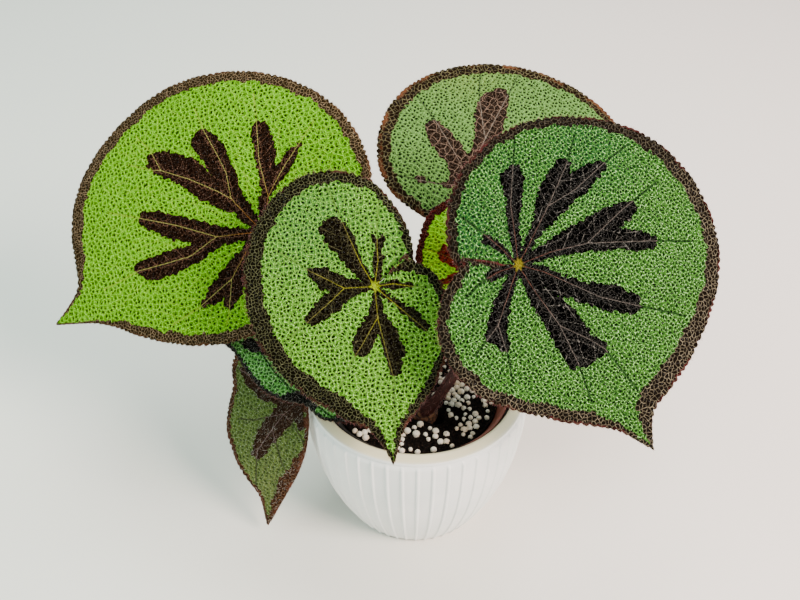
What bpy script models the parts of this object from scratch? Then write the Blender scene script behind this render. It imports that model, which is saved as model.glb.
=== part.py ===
"""Iron cross begonia in a ribbed white pot.

A rhizome creeps across the potting mix and carries seven leaves, each a
stalk and a heart-shaped blade that faces the light at the front. The mix
sits in a plain brown liner pot, and the liner stands inside a white
decorative pot with fine upright ribs and a turned-in lip.

The origin is the middle of the pot's flat underside, +Z is up, and the
leaves face -Y.
"""
import math
import random

import bmesh
import bpy
from mathutils import Vector

# Driving sizes, in millimetres
MM = 0.001
FIT = 0.3

POT_HEIGHT = 82.0
POT_FOOT_RADIUS = 36.8
POT_BELLY_RADIUS = 56.2
POT_BELLY_POWER = 2.2
POT_WALL_TOP = 76.5
POT_LIP_RADIUS = 55.0
POT_MOUTH_RADIUS = 49.0
POT_WALL = 2.3
POT_FLOOR = 4.0
RIB_COUNT = 48
RIB_DEPTH = 0.9
RIB_FOOT_DEPTH = 1.2

LINER_WALL = 1.1
LINER_RIM_RADIUS = 47.0
LINER_TOP = 79.2
LINER_DRAIN_RADIUS = 6.0
LINER_COLUMNS = 40
LINER_FOOT_RADIUS = 31.0
LINER_NECK_HEIGHT = 64.0
LINER_NECK_RADIUS = 38.4
LINER_COLLAR_HEIGHT = 68.6
LINER_COLLAR_RADIUS = 40.4
LINER_COLLAR_FLARE = 0.5

SOIL_TOP = 72.0
SOIL_RADIUS = 41.8
GRAIN_HEIGHT = 1.7

RHIZOME_START = Vector((-27.0, 8.0, 71.0))
RHIZOME_END = Vector((9.0, -17.0, 71.0))
RHIZOME_RADIUS = 7.5
STALK_SEAT_HEIGHT = 74.5
STALK_STEPS = 12
STALK_NECK = 2.0
SEAT_STEPS = 3

BLADE_THICKNESS = 0.9
RING_SHARES = (0.1, 0.28, 0.48, 0.68, 0.86, 1.0)
COLUMN_STEP = 8.0
SMALL_COLUMN_STEP = 11.0
SMALL_BLADE = 50.0
TIP_HALF_ANGLE = 4.0
SCALLOP = 0.7
PILLOW = 1.0
EDGE_WAVE = 1.2
SINUS_SLIT = 2.0
LOBE_OVERLAP = 8.0
LOBE_LIFT = 1.3

# Each leaf: where the stalk meets the blade, how far the blade leans from
# level and towards which compass heading, the heading of its tip, which
# hand its big lobe is on, its droop along and across at 100 mm, and the
# margin's distance from the stalk every 30 degrees round the big side,
# starting at the tip. The drip tip is added to the first one.
LEAVES = {
    "a": {
        "joint": (-73, 23, 156), "lean": 46, "lean_heading": -112, "tip_heading": -177.5,
        "hand": -1, "droop": 10, "roll": 10, "drip_tip": 29, "sinus": 232,
        "margin": (100, 115, 106, 88, 75, 65, 56, 44, 27, 42, 52, 70),
        "veins": (16, 63, 114, 160, 200, -38, -88),
        "stalk_site": (14, 3), "stalk_bows": ((-24, 8, 112), (-66, 40, 139)),
        "stalk_radii": (2.8, 2.2),
    },
    "b": {
        "joint": (-19, -24, 159.5), "lean": 48, "lean_heading": -95, "tip_heading": -81.5,
        "hand": -1, "droop": 12, "roll": 12, "drip_tip": 17, "sinus": 235,
        "margin": (60, 56, 56, 57, 60, 59, 48, 30, 19, 28, 36, 47),
        "veins": (0, 43, 88, 123, 158, 187, -49, -85),
        "stalk_site": (20, -3), "stalk_bows": ((-8, -1, 107), (-11, -2, 139)),
        "stalk_radii": (2.7, 2.1),
    },
    "c": {
        "joint": (40, -33.5, 178), "lean": 46, "lean_heading": -80, "tip_heading": -39,
        "hand": 1, "droop": 10, "roll": 10, "drip_tip": 17, "sinus": 232,
        "margin": (79, 85, 92, 85, 70, 55, 42, 31, 24, 42, 54, 62),
        "veins": (0, 35, 73, 110, 146, 192, -54, -97),
        "stalk_site": (39, -1), "stalk_bows": ((20, -22, 104), (36, -12, 152)),
        "stalk_radii": (2.8, 2.2),
    },
    "d": {
        "joint": (29.5, 75, 148), "lean": 34, "lean_heading": -80, "tip_heading": -23,
        "hand": 1, "droop": 10, "roll": 10, "drip_tip": 18, "sinus": 246,
        "margin": (86, 93, 97, 86, 78, 69, 57, 44, 30, 36, 50, 64),
        "veins": (0, 35, 70, 107, 150, 202, -54, -90),
        "stalk_site": (26, 3), "stalk_bows": ((2, 20, 112), (25, 84, 125)),
        "stalk_radii": (2.8, 2.2),
    },
    "e": {
        "joint": (29, 13, 142), "lean": 40, "lean_heading": -105, "tip_heading": -121,
        "hand": -1, "droop": 14, "roll": 14, "drip_tip": 8, "sinus": 240,
        "margin": (36, 33, 31, 32, 38, 39, 36, 29, 17, 22, 24, 28),
        "veins": (0, 45, 88, 130, 175, -50),
        "stalk_site": (33, 3), "stalk_bows": ((6, 4, 100), (32, 26, 122)),
        "stalk_radii": (2.2, 1.7),
    },
    "f": {
        "joint": (-48, -21, 109), "lean": 45, "lean_heading": -108, "tip_heading": 160,
        "hand": -1, "droop": 15, "roll": 20, "drip_tip": 9, "sinus": 190,
        "margin": (41, 42, 42, 40, 38, 35, 25, 31, 25, 18, 21, 30),
        "veins": (3, 45, 90, 140, -34, -76, -136),
        "stalk_site": (10, -3), "stalk_bows": ((-19, -3, 100), (-40, -14, 102)),
        "stalk_radii": (2.3, 1.8),
    },
    "g": {
        "joint": (-55, -20, 95), "lean": 72, "lean_heading": -112, "tip_heading": -143,
        "hand": -1, "droop": 10, "roll": 20, "drip_tip": 26, "sinus": 205,
        "margin": (66, 60, 42, 38, 28, 15, 11, 9, 8, 8, 9, 12),
        "veins": (0, 28, 65, 110, -40),
        "stalk_site": (4, 1), "stalk_bows": ((-28, 3, 92), (-44, -9, 95)),
        "stalk_radii": (2.3, 1.8),
    },
}


def clear_scene():
    for thing in list(bpy.data.objects):
        bpy.data.objects.remove(thing, do_unlink=True)


def finish(name, red, green, blue, roughness):
    """A plain plant or pot colour."""
    material = bpy.data.materials.new(name)
    material.use_nodes = True
    shader = material.node_tree.nodes["Principled BSDF"]
    shader.inputs["Base Color"].default_value = (red, green, blue, 1.0)
    shader.inputs["Roughness"].default_value = roughness
    shader.inputs["Metallic"].default_value = 0.0
    return material


def add_mesh(name, points, faces, material):
    """One object from points in millimetres, shaded smooth, facing out."""
    mesh = bpy.data.meshes.new(name)
    mesh.from_pydata([Vector(point) * MM for point in points], [], faces)
    shell = bmesh.new()
    shell.from_mesh(mesh)
    bmesh.ops.recalc_face_normals(shell, faces=shell.faces)
    bmesh.ops.triangulate(shell, faces=[face for face in shell.faces if len(face.verts) > 3])
    shell.to_mesh(mesh)
    shell.free()
    mesh.shade_smooth()
    mesh.set_sharp_from_angle(angle=math.radians(40))
    piece = bpy.data.objects.new(name, mesh)
    mesh.materials.append(material)
    bpy.context.collection.objects.link(piece)
    return piece


def smooth(value):
    """Eases from 0 to 1 as value goes from 0 to 1."""
    value = min(max(value, 0.0), 1.0)
    return value * value * (3.0 - 2.0 * value)


def turned(name, rings, columns, material, closed=False):
    """A piece turned about Z. A ring is (radius, height, groove depth).

    Every second column is pressed in by the groove depth. An open profile
    starts and ends on the axis; a closed one goes round a wall.
    """
    points = []
    rows = []
    for radius, height, groove in rings:
        if radius == 0.0:
            points.append((0.0, 0.0, height))
            rows.append([len(points) - 1] * columns)
            continue
        row = []
        for column in range(columns):
            angle = math.tau * column / columns
            reach = radius - (groove if column % 2 else 0.0)
            points.append((reach * math.cos(angle), reach * math.sin(angle), height))
            row.append(len(points) - 1)
        rows.append(row)
    faces = []
    pairs = list(zip(rows, rows[1:]))
    if closed:
        pairs.append((rows[-1], rows[0]))
    for low, high in pairs:
        for column in range(columns):
            after = (column + 1) % columns
            corners = [low[column], low[after], high[after], high[column]]
            face = list(dict.fromkeys(corners))
            faces.append(face)
    return add_mesh(name, points, faces, material)


def belly_radius(height):
    """Outer radius of the pot's wall at a height."""
    share = min(height / POT_WALL_TOP, 1.0)
    swell = 1.0 - (1.0 - share) ** POT_BELLY_POWER
    return POT_FOOT_RADIUS + (POT_BELLY_RADIUS - POT_FOOT_RADIUS) * swell


def make_pot():
    """White ribbed pot: bellied wall, turned-in lip, flat closed floor."""
    white = finish("white_pot", 0.80, 0.81, 0.79, 0.35)
    rings = [(0.0, 0.0, 0.0), (POT_FOOT_RADIUS, 0.0, RIB_FOOT_DEPTH)]
    for height in (8.0, 20.0, 36.0, 56.0):
        rings.append((belly_radius(height), height, RIB_DEPTH))
    rings.append((POT_BELLY_RADIUS, POT_WALL_TOP, RIB_DEPTH * 0.6))
    rings.append((POT_LIP_RADIUS, POT_HEIGHT - 2.6, 0.0))
    rings.append((POT_LIP_RADIUS - 1.4, POT_HEIGHT - 0.6, 0.0))
    rings.append((POT_LIP_RADIUS - 4.0, POT_HEIGHT, 0.0))
    rings.append((POT_MOUTH_RADIUS, POT_HEIGHT - 0.4, 0.0))
    rings.append((POT_MOUTH_RADIUS - 0.2, POT_HEIGHT - 2.4, 0.0))
    rings.append((POT_BELLY_RADIUS - POT_WALL - 0.6, POT_HEIGHT - 5.0, 0.0))
    for height in (48.0, 20.0):
        rings.append((belly_radius(height) - POT_WALL, height, 0.0))
    rings.append((POT_FOOT_RADIUS + 1.0, POT_FLOOR, 0.0))
    rings.append((0.0, POT_FLOOR, 0.0))
    return turned("pot", rings, 2 * RIB_COUNT, white)


def liner_inner(height):
    """Inner radius of the liner at a height: a cone with a flared collar."""
    if height <= LINER_NECK_HEIGHT:
        share = (height - POT_FLOOR) / (LINER_NECK_HEIGHT - POT_FLOOR)
        return LINER_FOOT_RADIUS + (LINER_NECK_RADIUS - LINER_FOOT_RADIUS) * share
    if height <= LINER_COLLAR_HEIGHT:
        share = (height - LINER_NECK_HEIGHT) / (LINER_COLLAR_HEIGHT - LINER_NECK_HEIGHT)
        return LINER_NECK_RADIUS + (LINER_COLLAR_RADIUS - LINER_NECK_RADIUS) * share
    return LINER_COLLAR_RADIUS + LINER_COLLAR_FLARE * (height - LINER_COLLAR_HEIGHT)


def make_liner():
    """Thin brown liner pot with a flared collar and a drain hole."""
    brown = finish("brown_liner", 0.20, 0.07, 0.03, 0.5)
    floor = POT_FLOOR + FIT
    rings = [
        (LINER_DRAIN_RADIUS, floor, 0.0),
        (LINER_FOOT_RADIUS - 0.5, floor, 0.0),
        (LINER_FOOT_RADIUS + LINER_WALL, floor + 1.6, 0.0),
        (LINER_NECK_RADIUS + LINER_WALL, LINER_NECK_HEIGHT, 0.0),
        (LINER_COLLAR_RADIUS + LINER_WALL, LINER_COLLAR_HEIGHT - 0.4, 0.0),
        (LINER_RIM_RADIUS - 0.8, LINER_TOP - 1.6, 0.0),
        (LINER_RIM_RADIUS, LINER_TOP - 0.8, 0.0),
        (LINER_RIM_RADIUS - 0.1, LINER_TOP, 0.0),
        (LINER_RIM_RADIUS - LINER_WALL, LINER_TOP, 0.0),
        (liner_inner(LINER_TOP - 1.0), LINER_TOP - 1.0, 0.0),
        (LINER_COLLAR_RADIUS, LINER_COLLAR_HEIGHT, 0.0),
        (LINER_NECK_RADIUS, LINER_NECK_HEIGHT, 0.0),
        (liner_inner(floor + 2.3), floor + 2.3, 0.0),
        (LINER_FOOT_RADIUS - 1.0, floor + LINER_WALL, 0.0),
        (LINER_DRAIN_RADIUS, floor + LINER_WALL, 0.0),
    ]
    return turned("liner_pot", rings, LINER_COLUMNS, brown, closed=True)


def site_on_rhizome(along, across, height):
    """A spot on the rhizome, from its old end and to its left."""
    line = RHIZOME_END - RHIZOME_START
    line.z = 0.0
    line.normalize()
    left = Vector((-line.y, line.x, 0.0))
    spot = RHIZOME_START + line * along + left * across
    spot.z = height
    return spot


def bezier(corners, steps):
    """Points along a cubic curve through four corners."""
    start, bow_one, bow_two, end = corners
    points = []
    for step in range(steps + 1):
        t = step / steps
        s = 1.0 - t
        points.append(start * s ** 3 + bow_one * 3 * s * s * t + bow_two * 3 * s * t * t + end * t ** 3)
    return points


def tube(name, points, radii, material, resolution=2):
    """A round tube along points, from a bevelled curve with filled caps."""
    curve = bpy.data.curves.new(name + "_path", "CURVE")
    curve.dimensions = "3D"
    curve.bevel_depth = MM
    curve.bevel_resolution = resolution
    curve.render_resolution_u = 0
    curve.use_fill_caps = True
    spline = curve.splines.new("POLY")
    spline.points.add(len(points) - 1)
    for knot, point, radius in zip(spline.points, points, radii):
        knot.co = (*(point * MM), 1.0)
        knot.radius = radius
    guide = bpy.data.objects.new(name + "_path", curve)
    bpy.context.collection.objects.link(guide)
    mesh = bpy.data.meshes.new_from_object(guide.evaluated_get(bpy.context.evaluated_depsgraph_get()))
    bpy.data.objects.remove(guide, do_unlink=True)
    shell = bmesh.new()
    shell.from_mesh(mesh)
    bmesh.ops.remove_doubles(shell, verts=shell.verts, dist=1e-6)
    bmesh.ops.recalc_face_normals(shell, faces=shell.faces)
    bmesh.ops.triangulate(shell, faces=[face for face in shell.faces if len(face.verts) > 3])
    shell.to_mesh(mesh)
    shell.free()
    mesh.shade_smooth()
    mesh.set_sharp_from_angle(angle=math.radians(50))
    mesh.materials.clear()
    mesh.materials.append(material)
    piece = bpy.data.objects.new(name, mesh)
    bpy.context.collection.objects.link(piece)
    return piece


def cut(piece, cutters):
    """Takes the cutters' shapes out of a piece."""
    for cutter in cutters:
        carve = piece.modifiers.new("carve", "BOOLEAN")
        carve.operation = "DIFFERENCE"
        carve.object = cutter
    mesh = bpy.data.meshes.new_from_object(piece.evaluated_get(bpy.context.evaluated_depsgraph_get()))
    piece.modifiers.clear()
    piece.data = mesh


def leaf_frame(leaf):
    """Joint, and the unit vectors to the tip, to the left and out of the face."""
    lean = math.radians(leaf["lean"])
    heading = math.radians(leaf["lean_heading"])
    face = Vector((
        math.sin(lean) * math.cos(heading),
        math.sin(lean) * math.sin(heading),
        math.cos(lean),
    ))
    way = math.radians(leaf["tip_heading"])
    tip = Vector((math.cos(way), math.sin(way), 0.0))
    tip.z = -(face.x * tip.x + face.y * tip.y) / face.z
    tip.normalize()
    return Vector(leaf["joint"]), tip, face.cross(tip), face


def margin_reach(leaf, angle):
    """Distance from the stalk to the margin, on a smooth closed curve."""
    margin = leaf["margin"]
    count = len(margin)
    place = (angle % 360.0) / (360.0 / count)
    start = int(place)
    part = place - start
    before, here, after, beyond = (margin[(start + shift) % count] for shift in (-1, 0, 1, 2))
    curve = 3 * (here - after) + beyond - before
    curve = 2 * before - 5 * here + 4 * after - beyond + part * curve
    reach = here + 0.5 * part * (after - before + part * curve)
    off_tip = abs((angle + 180.0) % 360.0 - 180.0)
    return reach + leaf["drip_tip"] * math.exp(-(off_tip / TIP_HALF_ANGLE) ** 1.2)


def blade_columns(leaf):
    """Angles of the mesh columns from one sinus edge to the other.

    Every main vein has a column of its own, and the spaces between veins
    are split evenly. Each column also says how far it is between veins.
    """
    edges = [leaf["sinus"] - 360.0 + SINUS_SLIT, leaf["sinus"] - SINUS_SLIT]
    stops = sorted([edges[0], edges[1], *leaf["veins"]])
    spacing = COLUMN_STEP if leaf["margin"][3] > SMALL_BLADE else SMALL_COLUMN_STEP
    columns = []
    for low, high in zip(stops, stops[1:]):
        steps = max(2, round((high - low) / spacing))
        for step in range(steps):
            columns.append((low + (high - low) * step / steps, step / steps))
    columns.append((stops[-1], 0.0))
    near_tip = [(side * 2.5, 0.1) for side in (-1, 1)]
    columns = [column for column in columns if abs(column[0]) > 4.0 or column[0] == 0.0]
    if all(column[0] != 0.0 for column in columns):
        near_tip.append((0.0, 0.1))
    return sorted(columns + near_tip)


def blade_point(leaf, frame, angle, share, between, reach):
    """A point of the blade's upper face."""
    joint, tip, left, face = frame
    radius = share * reach
    low_edge = leaf["sinus"] - 360.0
    high_edge = leaf["sinus"]
    at_small = 1.0 - smooth((angle - low_edge) / 40.0)
    at_big = 1.0 - smooth((high_edge - angle) / 40.0)
    over = smooth((radius - 5.0) / 6.0)
    turn = math.radians(angle + LOBE_OVERLAP * over * (at_big - at_small)) * leaf["hand"]
    along = radius * math.cos(turn)
    across = radius * math.sin(turn)
    height = -(leaf["droop"] * along ** 2 + leaf["roll"] * across ** 2) / 10000.0
    height += LOBE_LIFT * smooth((radius - 2.0) / 6.0) * (at_small - at_big)
    rise = smooth((radius - 4.0) / 20.0)
    height += PILLOW * rise * math.sin(math.pi * between) * (1.0 - 0.6 * share ** 3)
    height += EDGE_WAVE * share ** 4 * math.sin(math.radians(angle * 5.0))
    return joint + tip * along + left * across + face * height


def make_blade(letter, leaf):
    """Heart-shaped blade with a drip tip, veins, scalloped edge and lapped lobes."""
    colour = BLADE_COLOURS[letter]
    green = finish("blade_" + letter, *colour, 0.55)
    frame = leaf_frame(leaf)
    joint, _, _, face = frame
    columns = blade_columns(leaf)
    upper = [joint.copy()]
    for number, (angle, between) in enumerate(columns):
        reach = margin_reach(leaf, angle)
        for share in RING_SHARES:
            edge = SCALLOP * (1 if number % 2 else -1) if share == 1.0 and abs(angle) > 5.0 else 0.0
            upper.append(blade_point(leaf, frame, angle, share, between, reach + edge))
    points = upper + [point - face * BLADE_THICKNESS for point in upper]
    under = len(upper)
    rings = len(RING_SHARES)

    def at(column, ring):
        return 1 + column * rings + ring

    faces = []
    for column in range(len(columns) - 1):
        faces.append((0, at(column, 0), at(column + 1, 0)))
        for ring in range(rings - 1):
            near, far = at(column, ring), at(column, ring + 1)
            next_near, next_far = at(column + 1, ring), at(column + 1, ring + 1)
            if ring % 2 == column % 2:
                faces.append((near, far, next_far))
                faces.append((near, next_far, next_near))
            else:
                faces.append((near, far, next_near))
                faces.append((next_near, far, next_far))
    faces += [tuple(under + corner for corner in reversed(face_corners)) for face_corners in faces]
    rim = [0] + [at(0, ring) for ring in range(rings)]
    rim += [at(column, rings - 1) for column in range(1, len(columns))]
    rim += [at(len(columns) - 1, ring) for ring in range(rings - 2, -1, -1)]
    for here, after in zip(rim, rim[1:] + rim[:1]):
        faces.append((here, under + here, under + after))
        faces.append((here, under + after, after))
    return add_mesh("blade_" + letter, points, faces, green)


BLADE_COLOURS = {
    "a": (0.24, 0.50, 0.05),
    "b": (0.20, 0.42, 0.09),
    "c": (0.08, 0.26, 0.07),
    "d": (0.22, 0.38, 0.15),
    "e": (0.38, 0.48, 0.02),
    "f": (0.05, 0.20, 0.08),
    "g": (0.12, 0.24, 0.06),
}


def stalk_path(leaf):
    """Points and radii along a stalk, from its foot to the blade's back.

    The last stretch is straight, so that its end lies flat to the blade.
    """
    joint, _, _, face = leaf_frame(leaf)
    foot = site_on_rhizome(*leaf["stalk_site"], STALK_SEAT_HEIGHT)
    head = joint - face * (BLADE_THICKNESS + FIT)
    bows = [Vector(bow) for bow in leaf["stalk_bows"]]
    points = bezier([foot, *bows, head - face * STALK_NECK], STALK_STEPS) + [head]
    foot_radius, head_radius = leaf["stalk_radii"]
    count = len(points) - 1
    radii = [foot_radius + (head_radius - foot_radius) * step / count for step in range(count + 1)]
    return points, radii


def make_stalk(letter, leaf, material):
    """Round hairy leaf stalk, thickest where it leaves the rhizome."""
    return tube("stalk_" + letter, *stalk_path(leaf), material)


def make_seat_cutter(letter, leaf, material):
    """The plain hole that a stalk's foot stands in."""
    points, radii = stalk_path(leaf)
    below = (points[0] - points[1]).normalized() * FIT
    path = [points[0] + below] + points[1:SEAT_STEPS + 1]
    cutter = tube("seat_" + letter, path, [radius + 1.2 * FIT for radius in radii[:SEAT_STEPS + 1]], material)
    cutter.hide_render = True
    cutter.display_type = "WIRE"
    return cutter


def rhizome_path():
    """Points and radii along the creeping rhizome, with its swollen rings."""
    points = []
    radii = []
    steps = 14
    for step in range(steps + 1):
        t = step / steps
        point = RHIZOME_START.lerp(RHIZOME_END, t)
        point.z += 0.8 * math.sin(math.pi * t)
        ends = math.sin(math.pi * (0.12 + 0.76 * t)) ** 0.5
        points.append(point)
        radii.append(RHIZOME_RADIUS * ends * (1.0 + 0.05 * (-1) ** step))
    return points, radii


def make_rhizome(material, seats):
    """Creeping rhizome, half buried, with a hole for each stalk's foot."""
    points, radii = rhizome_path()
    rhizome = tube("rhizome", points, radii, material, resolution=3)
    cut(rhizome, seats)
    return rhizome


def make_potting_mix(rhizome_material, seats):
    """Dark mix with white beads, as a grainy relief, round the rhizome."""
    black = finish("potting_mix", 0.035, 0.028, 0.022, 0.95)
    columns = LINER_COLUMNS
    grain = random.Random(7)
    floor = POT_FLOOR + 2 * FIT + LINER_WALL
    points = [(0.0, 0.0, floor)]
    rows = []
    sides = (
        (LINER_FOOT_RADIUS - 1.4, floor),
        (liner_inner(floor + 1.9) - FIT, floor + 1.9),
        (LINER_NECK_RADIUS - FIT, LINER_NECK_HEIGHT - 0.2),
        (LINER_COLLAR_RADIUS - FIT, LINER_COLLAR_HEIGHT - 0.1),
        (SOIL_RADIUS - FIT, SOIL_TOP - 0.4),
    )
    tops = (38.0, 33.5, 29.0, 24.5, 20.0, 15.5, 10.5, 5.0)
    for radius, height in [*sides, *((top, None) for top in tops)]:
        row = []
        for column in range(columns):
            angle = math.tau * column / columns
            level = height
            if height is None:
                level = SOIL_TOP + grain.uniform(-0.5, 1.0) * GRAIN_HEIGHT * min(1.0, radius / 12.0)
            points.append((radius * math.cos(angle), radius * math.sin(angle), level))
            row.append(len(points) - 1)
        rows.append(row)
    points.append((0.0, 0.0, SOIL_TOP))
    rows = [[0] * columns, *rows, [len(points) - 1] * columns]
    faces = []
    for low, high in zip(rows, rows[1:]):
        for column in range(columns):
            after = (column + 1) % columns
            corners = [low[column], low[after], high[after], high[column]]
            faces.append(list(dict.fromkeys(corners)))
    mix = add_mesh("potting_mix", points, faces, black)
    path, radii = rhizome_path()
    beyond = (RHIZOME_END - RHIZOME_START).normalized() * 1.5 * FIT
    path = [path[0] - beyond, *path[1:-1], path[-1] + beyond]
    trough = tube("trough", path, [radius + 1.5 * FIT for radius in radii], rhizome_material, resolution=3)
    trough.hide_render = True
    trough.display_type = "WIRE"
    cut(mix, [trough, *seats])
    bpy.data.objects.remove(trough, do_unlink=True)
    return mix


def main():
    clear_scene()
    make_pot()
    make_liner()
    stalk_red = finish("red_stalk", 0.16, 0.035, 0.03, 0.6)
    scaly_brown = finish("rhizome", 0.09, 0.05, 0.03, 0.8)
    seats = [make_seat_cutter(letter, leaf, stalk_red) for letter, leaf in LEAVES.items()]
    make_rhizome(scaly_brown, seats)
    make_potting_mix(scaly_brown, seats)
    for seat in seats:
        bpy.data.objects.remove(seat, do_unlink=True)
    for letter, leaf in LEAVES.items():
        make_stalk(letter, leaf, stalk_red)
        make_blade(letter, leaf)


main()
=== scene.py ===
import math
from functools import partial

import bpy
import numpy as np
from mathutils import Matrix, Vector
from mathutils.geometry import delaunay_2d_cdt
from mathutils.kdtree import KDTree


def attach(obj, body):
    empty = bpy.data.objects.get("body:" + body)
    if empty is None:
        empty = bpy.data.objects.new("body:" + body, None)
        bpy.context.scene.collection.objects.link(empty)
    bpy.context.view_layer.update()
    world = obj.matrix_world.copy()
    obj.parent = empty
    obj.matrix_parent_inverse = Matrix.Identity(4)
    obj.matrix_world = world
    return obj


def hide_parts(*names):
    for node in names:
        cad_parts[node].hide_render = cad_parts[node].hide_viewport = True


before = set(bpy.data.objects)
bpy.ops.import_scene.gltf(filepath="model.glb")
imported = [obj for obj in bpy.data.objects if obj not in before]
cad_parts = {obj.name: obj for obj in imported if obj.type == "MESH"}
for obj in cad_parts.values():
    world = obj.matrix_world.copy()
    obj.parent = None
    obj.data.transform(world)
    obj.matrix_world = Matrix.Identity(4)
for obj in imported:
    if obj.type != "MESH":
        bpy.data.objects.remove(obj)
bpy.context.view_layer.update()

# White pot
# A moulded pot in satin white plastic with a broad turned-in lip.
# Fine upright ribs stand on the wall, from just under the lip's fold to the foot.
MM = 0.001
POT_HEIGHT = 82.0
FOOT_RADIUS = 36.8
BELLY_RADIUS = 56.2
BELLY_POWER = 2.2
WALL_TOP = 76.5
LIP_RADIUS = 55.0
LIP_EDGE = 80.6
LIP_ROUND = 0.6
LIP_FOLD = 78.9
MOUTH_RADIUS = 49.0
POT_WALL = 2.3
POT_FLOOR = 4.0
FOOT_RECESS = 0.8
RIB_COUNT = 48
RIB_HEIGHT = 0.65
RIB_HALF_WIDTH = 0.11
RIB_TOP = 78.6
RIB_FOOT_SHARE = 1.35
RIB_CREST_SHARE = 0.45
RIB_COLUMNS = (0.0, 0.05, 0.09, 0.13, 0.17, 0.22, 0.5, 0.78, 0.83, 0.87, 0.91, 0.95)


def smooth(value):
    """Eases from 0 to 1 as value goes from 0 to 1."""
    value = np.clip(value, 0.0, 1.0)
    return value * value * (3.0 - 2.0 * value)


def linear(red, green, blue):
    """A screen colour from 0 to 255, as the light it reflects."""
    shares = [channel / 255.0 for channel in (red, green, blue)]
    return (*(share / 12.92 if share < 0.04 else ((share + 0.055) / 1.055) ** 2.4 for share in shares), 1.0)


def plain_mesh(name, points, corners, **attributes):
    """A smooth mesh of triangles from points in millimetres, with its point attributes."""
    mesh = bpy.data.meshes.new(name)
    corners = np.asarray(corners, np.int32)
    mesh.vertices.add(len(points))
    mesh.vertices.foreach_set("co", (np.asarray(points, np.float32) * MM).ravel())
    mesh.loops.add(corners.size)
    mesh.loops.foreach_set("vertex_index", corners.ravel())
    mesh.polygons.add(len(corners))
    mesh.polygons.foreach_set("loop_start", np.arange(0, corners.size, 3, dtype=np.int32))
    mesh.update(calc_edges=True)
    mesh.shade_smooth()
    for key, values in attributes.items():
        values = np.asarray(values, np.float32)
        kind, field = ("FLOAT", "value") if values.ndim == 1 else ("FLOAT_VECTOR", "vector")
        mesh.attributes.new(key, kind, "POINT").data.foreach_set(field, values.ravel())
    return mesh


def ring_faces(rows, closed=False):
    """Triangles that join rows of points, each row a ring of point numbers or one point at a pole."""
    corners = []
    pairs = list(zip(rows, rows[1:])) + ([(rows[-1], rows[0])] if closed else [])
    for low, high in pairs:
        low_next, high_next = np.roll(low, -1), np.roll(high, -1)
        if len(low) > 1:
            upper = high if len(high) > 1 else np.repeat(high, len(low))
            corners.append(np.stack([low, low_next, upper], 1))
        if len(high) > 1:
            lower = low_next if len(low) > 1 else np.repeat(low, len(high))
            corners.append(np.stack([lower, high_next, high], 1))
    return np.concatenate(corners)


def turned(profile, turns, closed=False):
    """Points and triangles of a profile of (radius, height) turned about Z."""
    points, rows = [], []
    for radius, height in profile:
        way = turns if radius > 0.0 else turns[:1]
        ring = np.stack([radius * np.cos(way), radius * np.sin(way), np.full(len(way), height)], 1)
        rows.append(np.arange(len(ring)) + sum(len(done) for done in points))
        points.append(ring)
    return np.concatenate(points), ring_faces(rows, closed)


def join(value, socket):
    """Gives a socket a value or another socket's output."""
    if isinstance(value, bpy.types.NodeSocket):
        socket.id_data.links.new(value, socket)
    else:
        socket.default_value = value


def add(tree, kind, given=(), **settings):
    """One node with its settings, and with what its sockets are given."""
    node = tree.nodes.new(kind)
    for key, value in settings.items():
        setattr(node, key, value)
    for key, value in dict(given).items():
        join(value, node.inputs[key])
    return node


def home(values):
    """The tree of the first socket among some values."""
    return next(value.id_data for value in values if isinstance(value, bpy.types.NodeSocket))


def number(operation, *values):
    """Output of a Math node."""
    return add(home(values), "ShaderNodeMath", enumerate(values), operation=operation).outputs[0]


plus, less, times, most = (partial(number, kind) for kind in ("ADD", "SUBTRACT", "MULTIPLY", "MAXIMUM"))


def arrow(operation, *values):
    """Output of a Vector Math node."""
    keys = (0, "Scale") if operation == "SCALE" else range(len(values))
    node = add(home(values), "ShaderNodeVectorMath", zip(keys, values), operation=operation)
    return node.outputs["Value" if operation in ("LENGTH", "DOT_PRODUCT") else "Vector"]


def axis_of(vector, axis):
    """X, Y or Z of a vector."""
    return add(vector.id_data, "ShaderNodeSeparateXYZ", {0: vector}).outputs[axis]


def ramp(value, start, end, low=0.0, high=1.0):
    """Eases from low to high as value goes from start to end."""
    given = {"Value": value, "From Min": start, "From Max": end, "To Min": low, "To Max": high}
    node = add(value.id_data, "ShaderNodeMapRange", given, interpolation_type="SMOOTHSTEP")
    return node.outputs["Result"]


def tint(share, first, second):
    """Mixes two colours, which go to the node's inputs 6 and 7 and come out of its output 2."""
    given = {"Factor": share, 6: first, 7: second}
    return add(share.id_data, "ShaderNodeMix", given, data_type="RGBA").outputs[2]


def coats(colour, *layers):
    """A colour with others laid over it in turn, each by its share."""
    for share, over in layers:
        colour = tint(share, colour, over)
    return colour


def grain(place, size, detail=2.0, roughness=0.5):
    """Noise from 0 to 1 on a vector, with features of about a size in the vector's units."""
    given = {"Vector": place, "Scale": 1.0 / size, "Detail": detail, "Roughness": roughness}
    return add(place.id_data, "ShaderNodeTexNoise", given).outputs[0]


def start_finish(name, roughness, specular=0.5):
    """A new material, and the place on the object in metres."""
    material = bpy.data.materials.new(name)
    material.use_nodes = True
    shader = material.node_tree.nodes["Principled BSDF"]
    shader.inputs["Roughness"].default_value = roughness
    shader.inputs["Specular IOR Level"].default_value = specular
    return material, add(material.node_tree, "ShaderNodeTexCoord").outputs["Object"]


def end_finish(material, given, height=None, depth=0.0):
    """Ends a material: what its shader's sockets are given, and fine relief as deep as depth in metres."""
    tree = material.node_tree
    if height is not None:
        bump = add(tree, "ShaderNodeBump", {"Distance": depth, "Height": height})
        given["Normal"] = bump.outputs["Normal"]
    for key, value in given.items():
        join(value, tree.nodes["Principled BSDF"].inputs[key])
    return material


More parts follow.
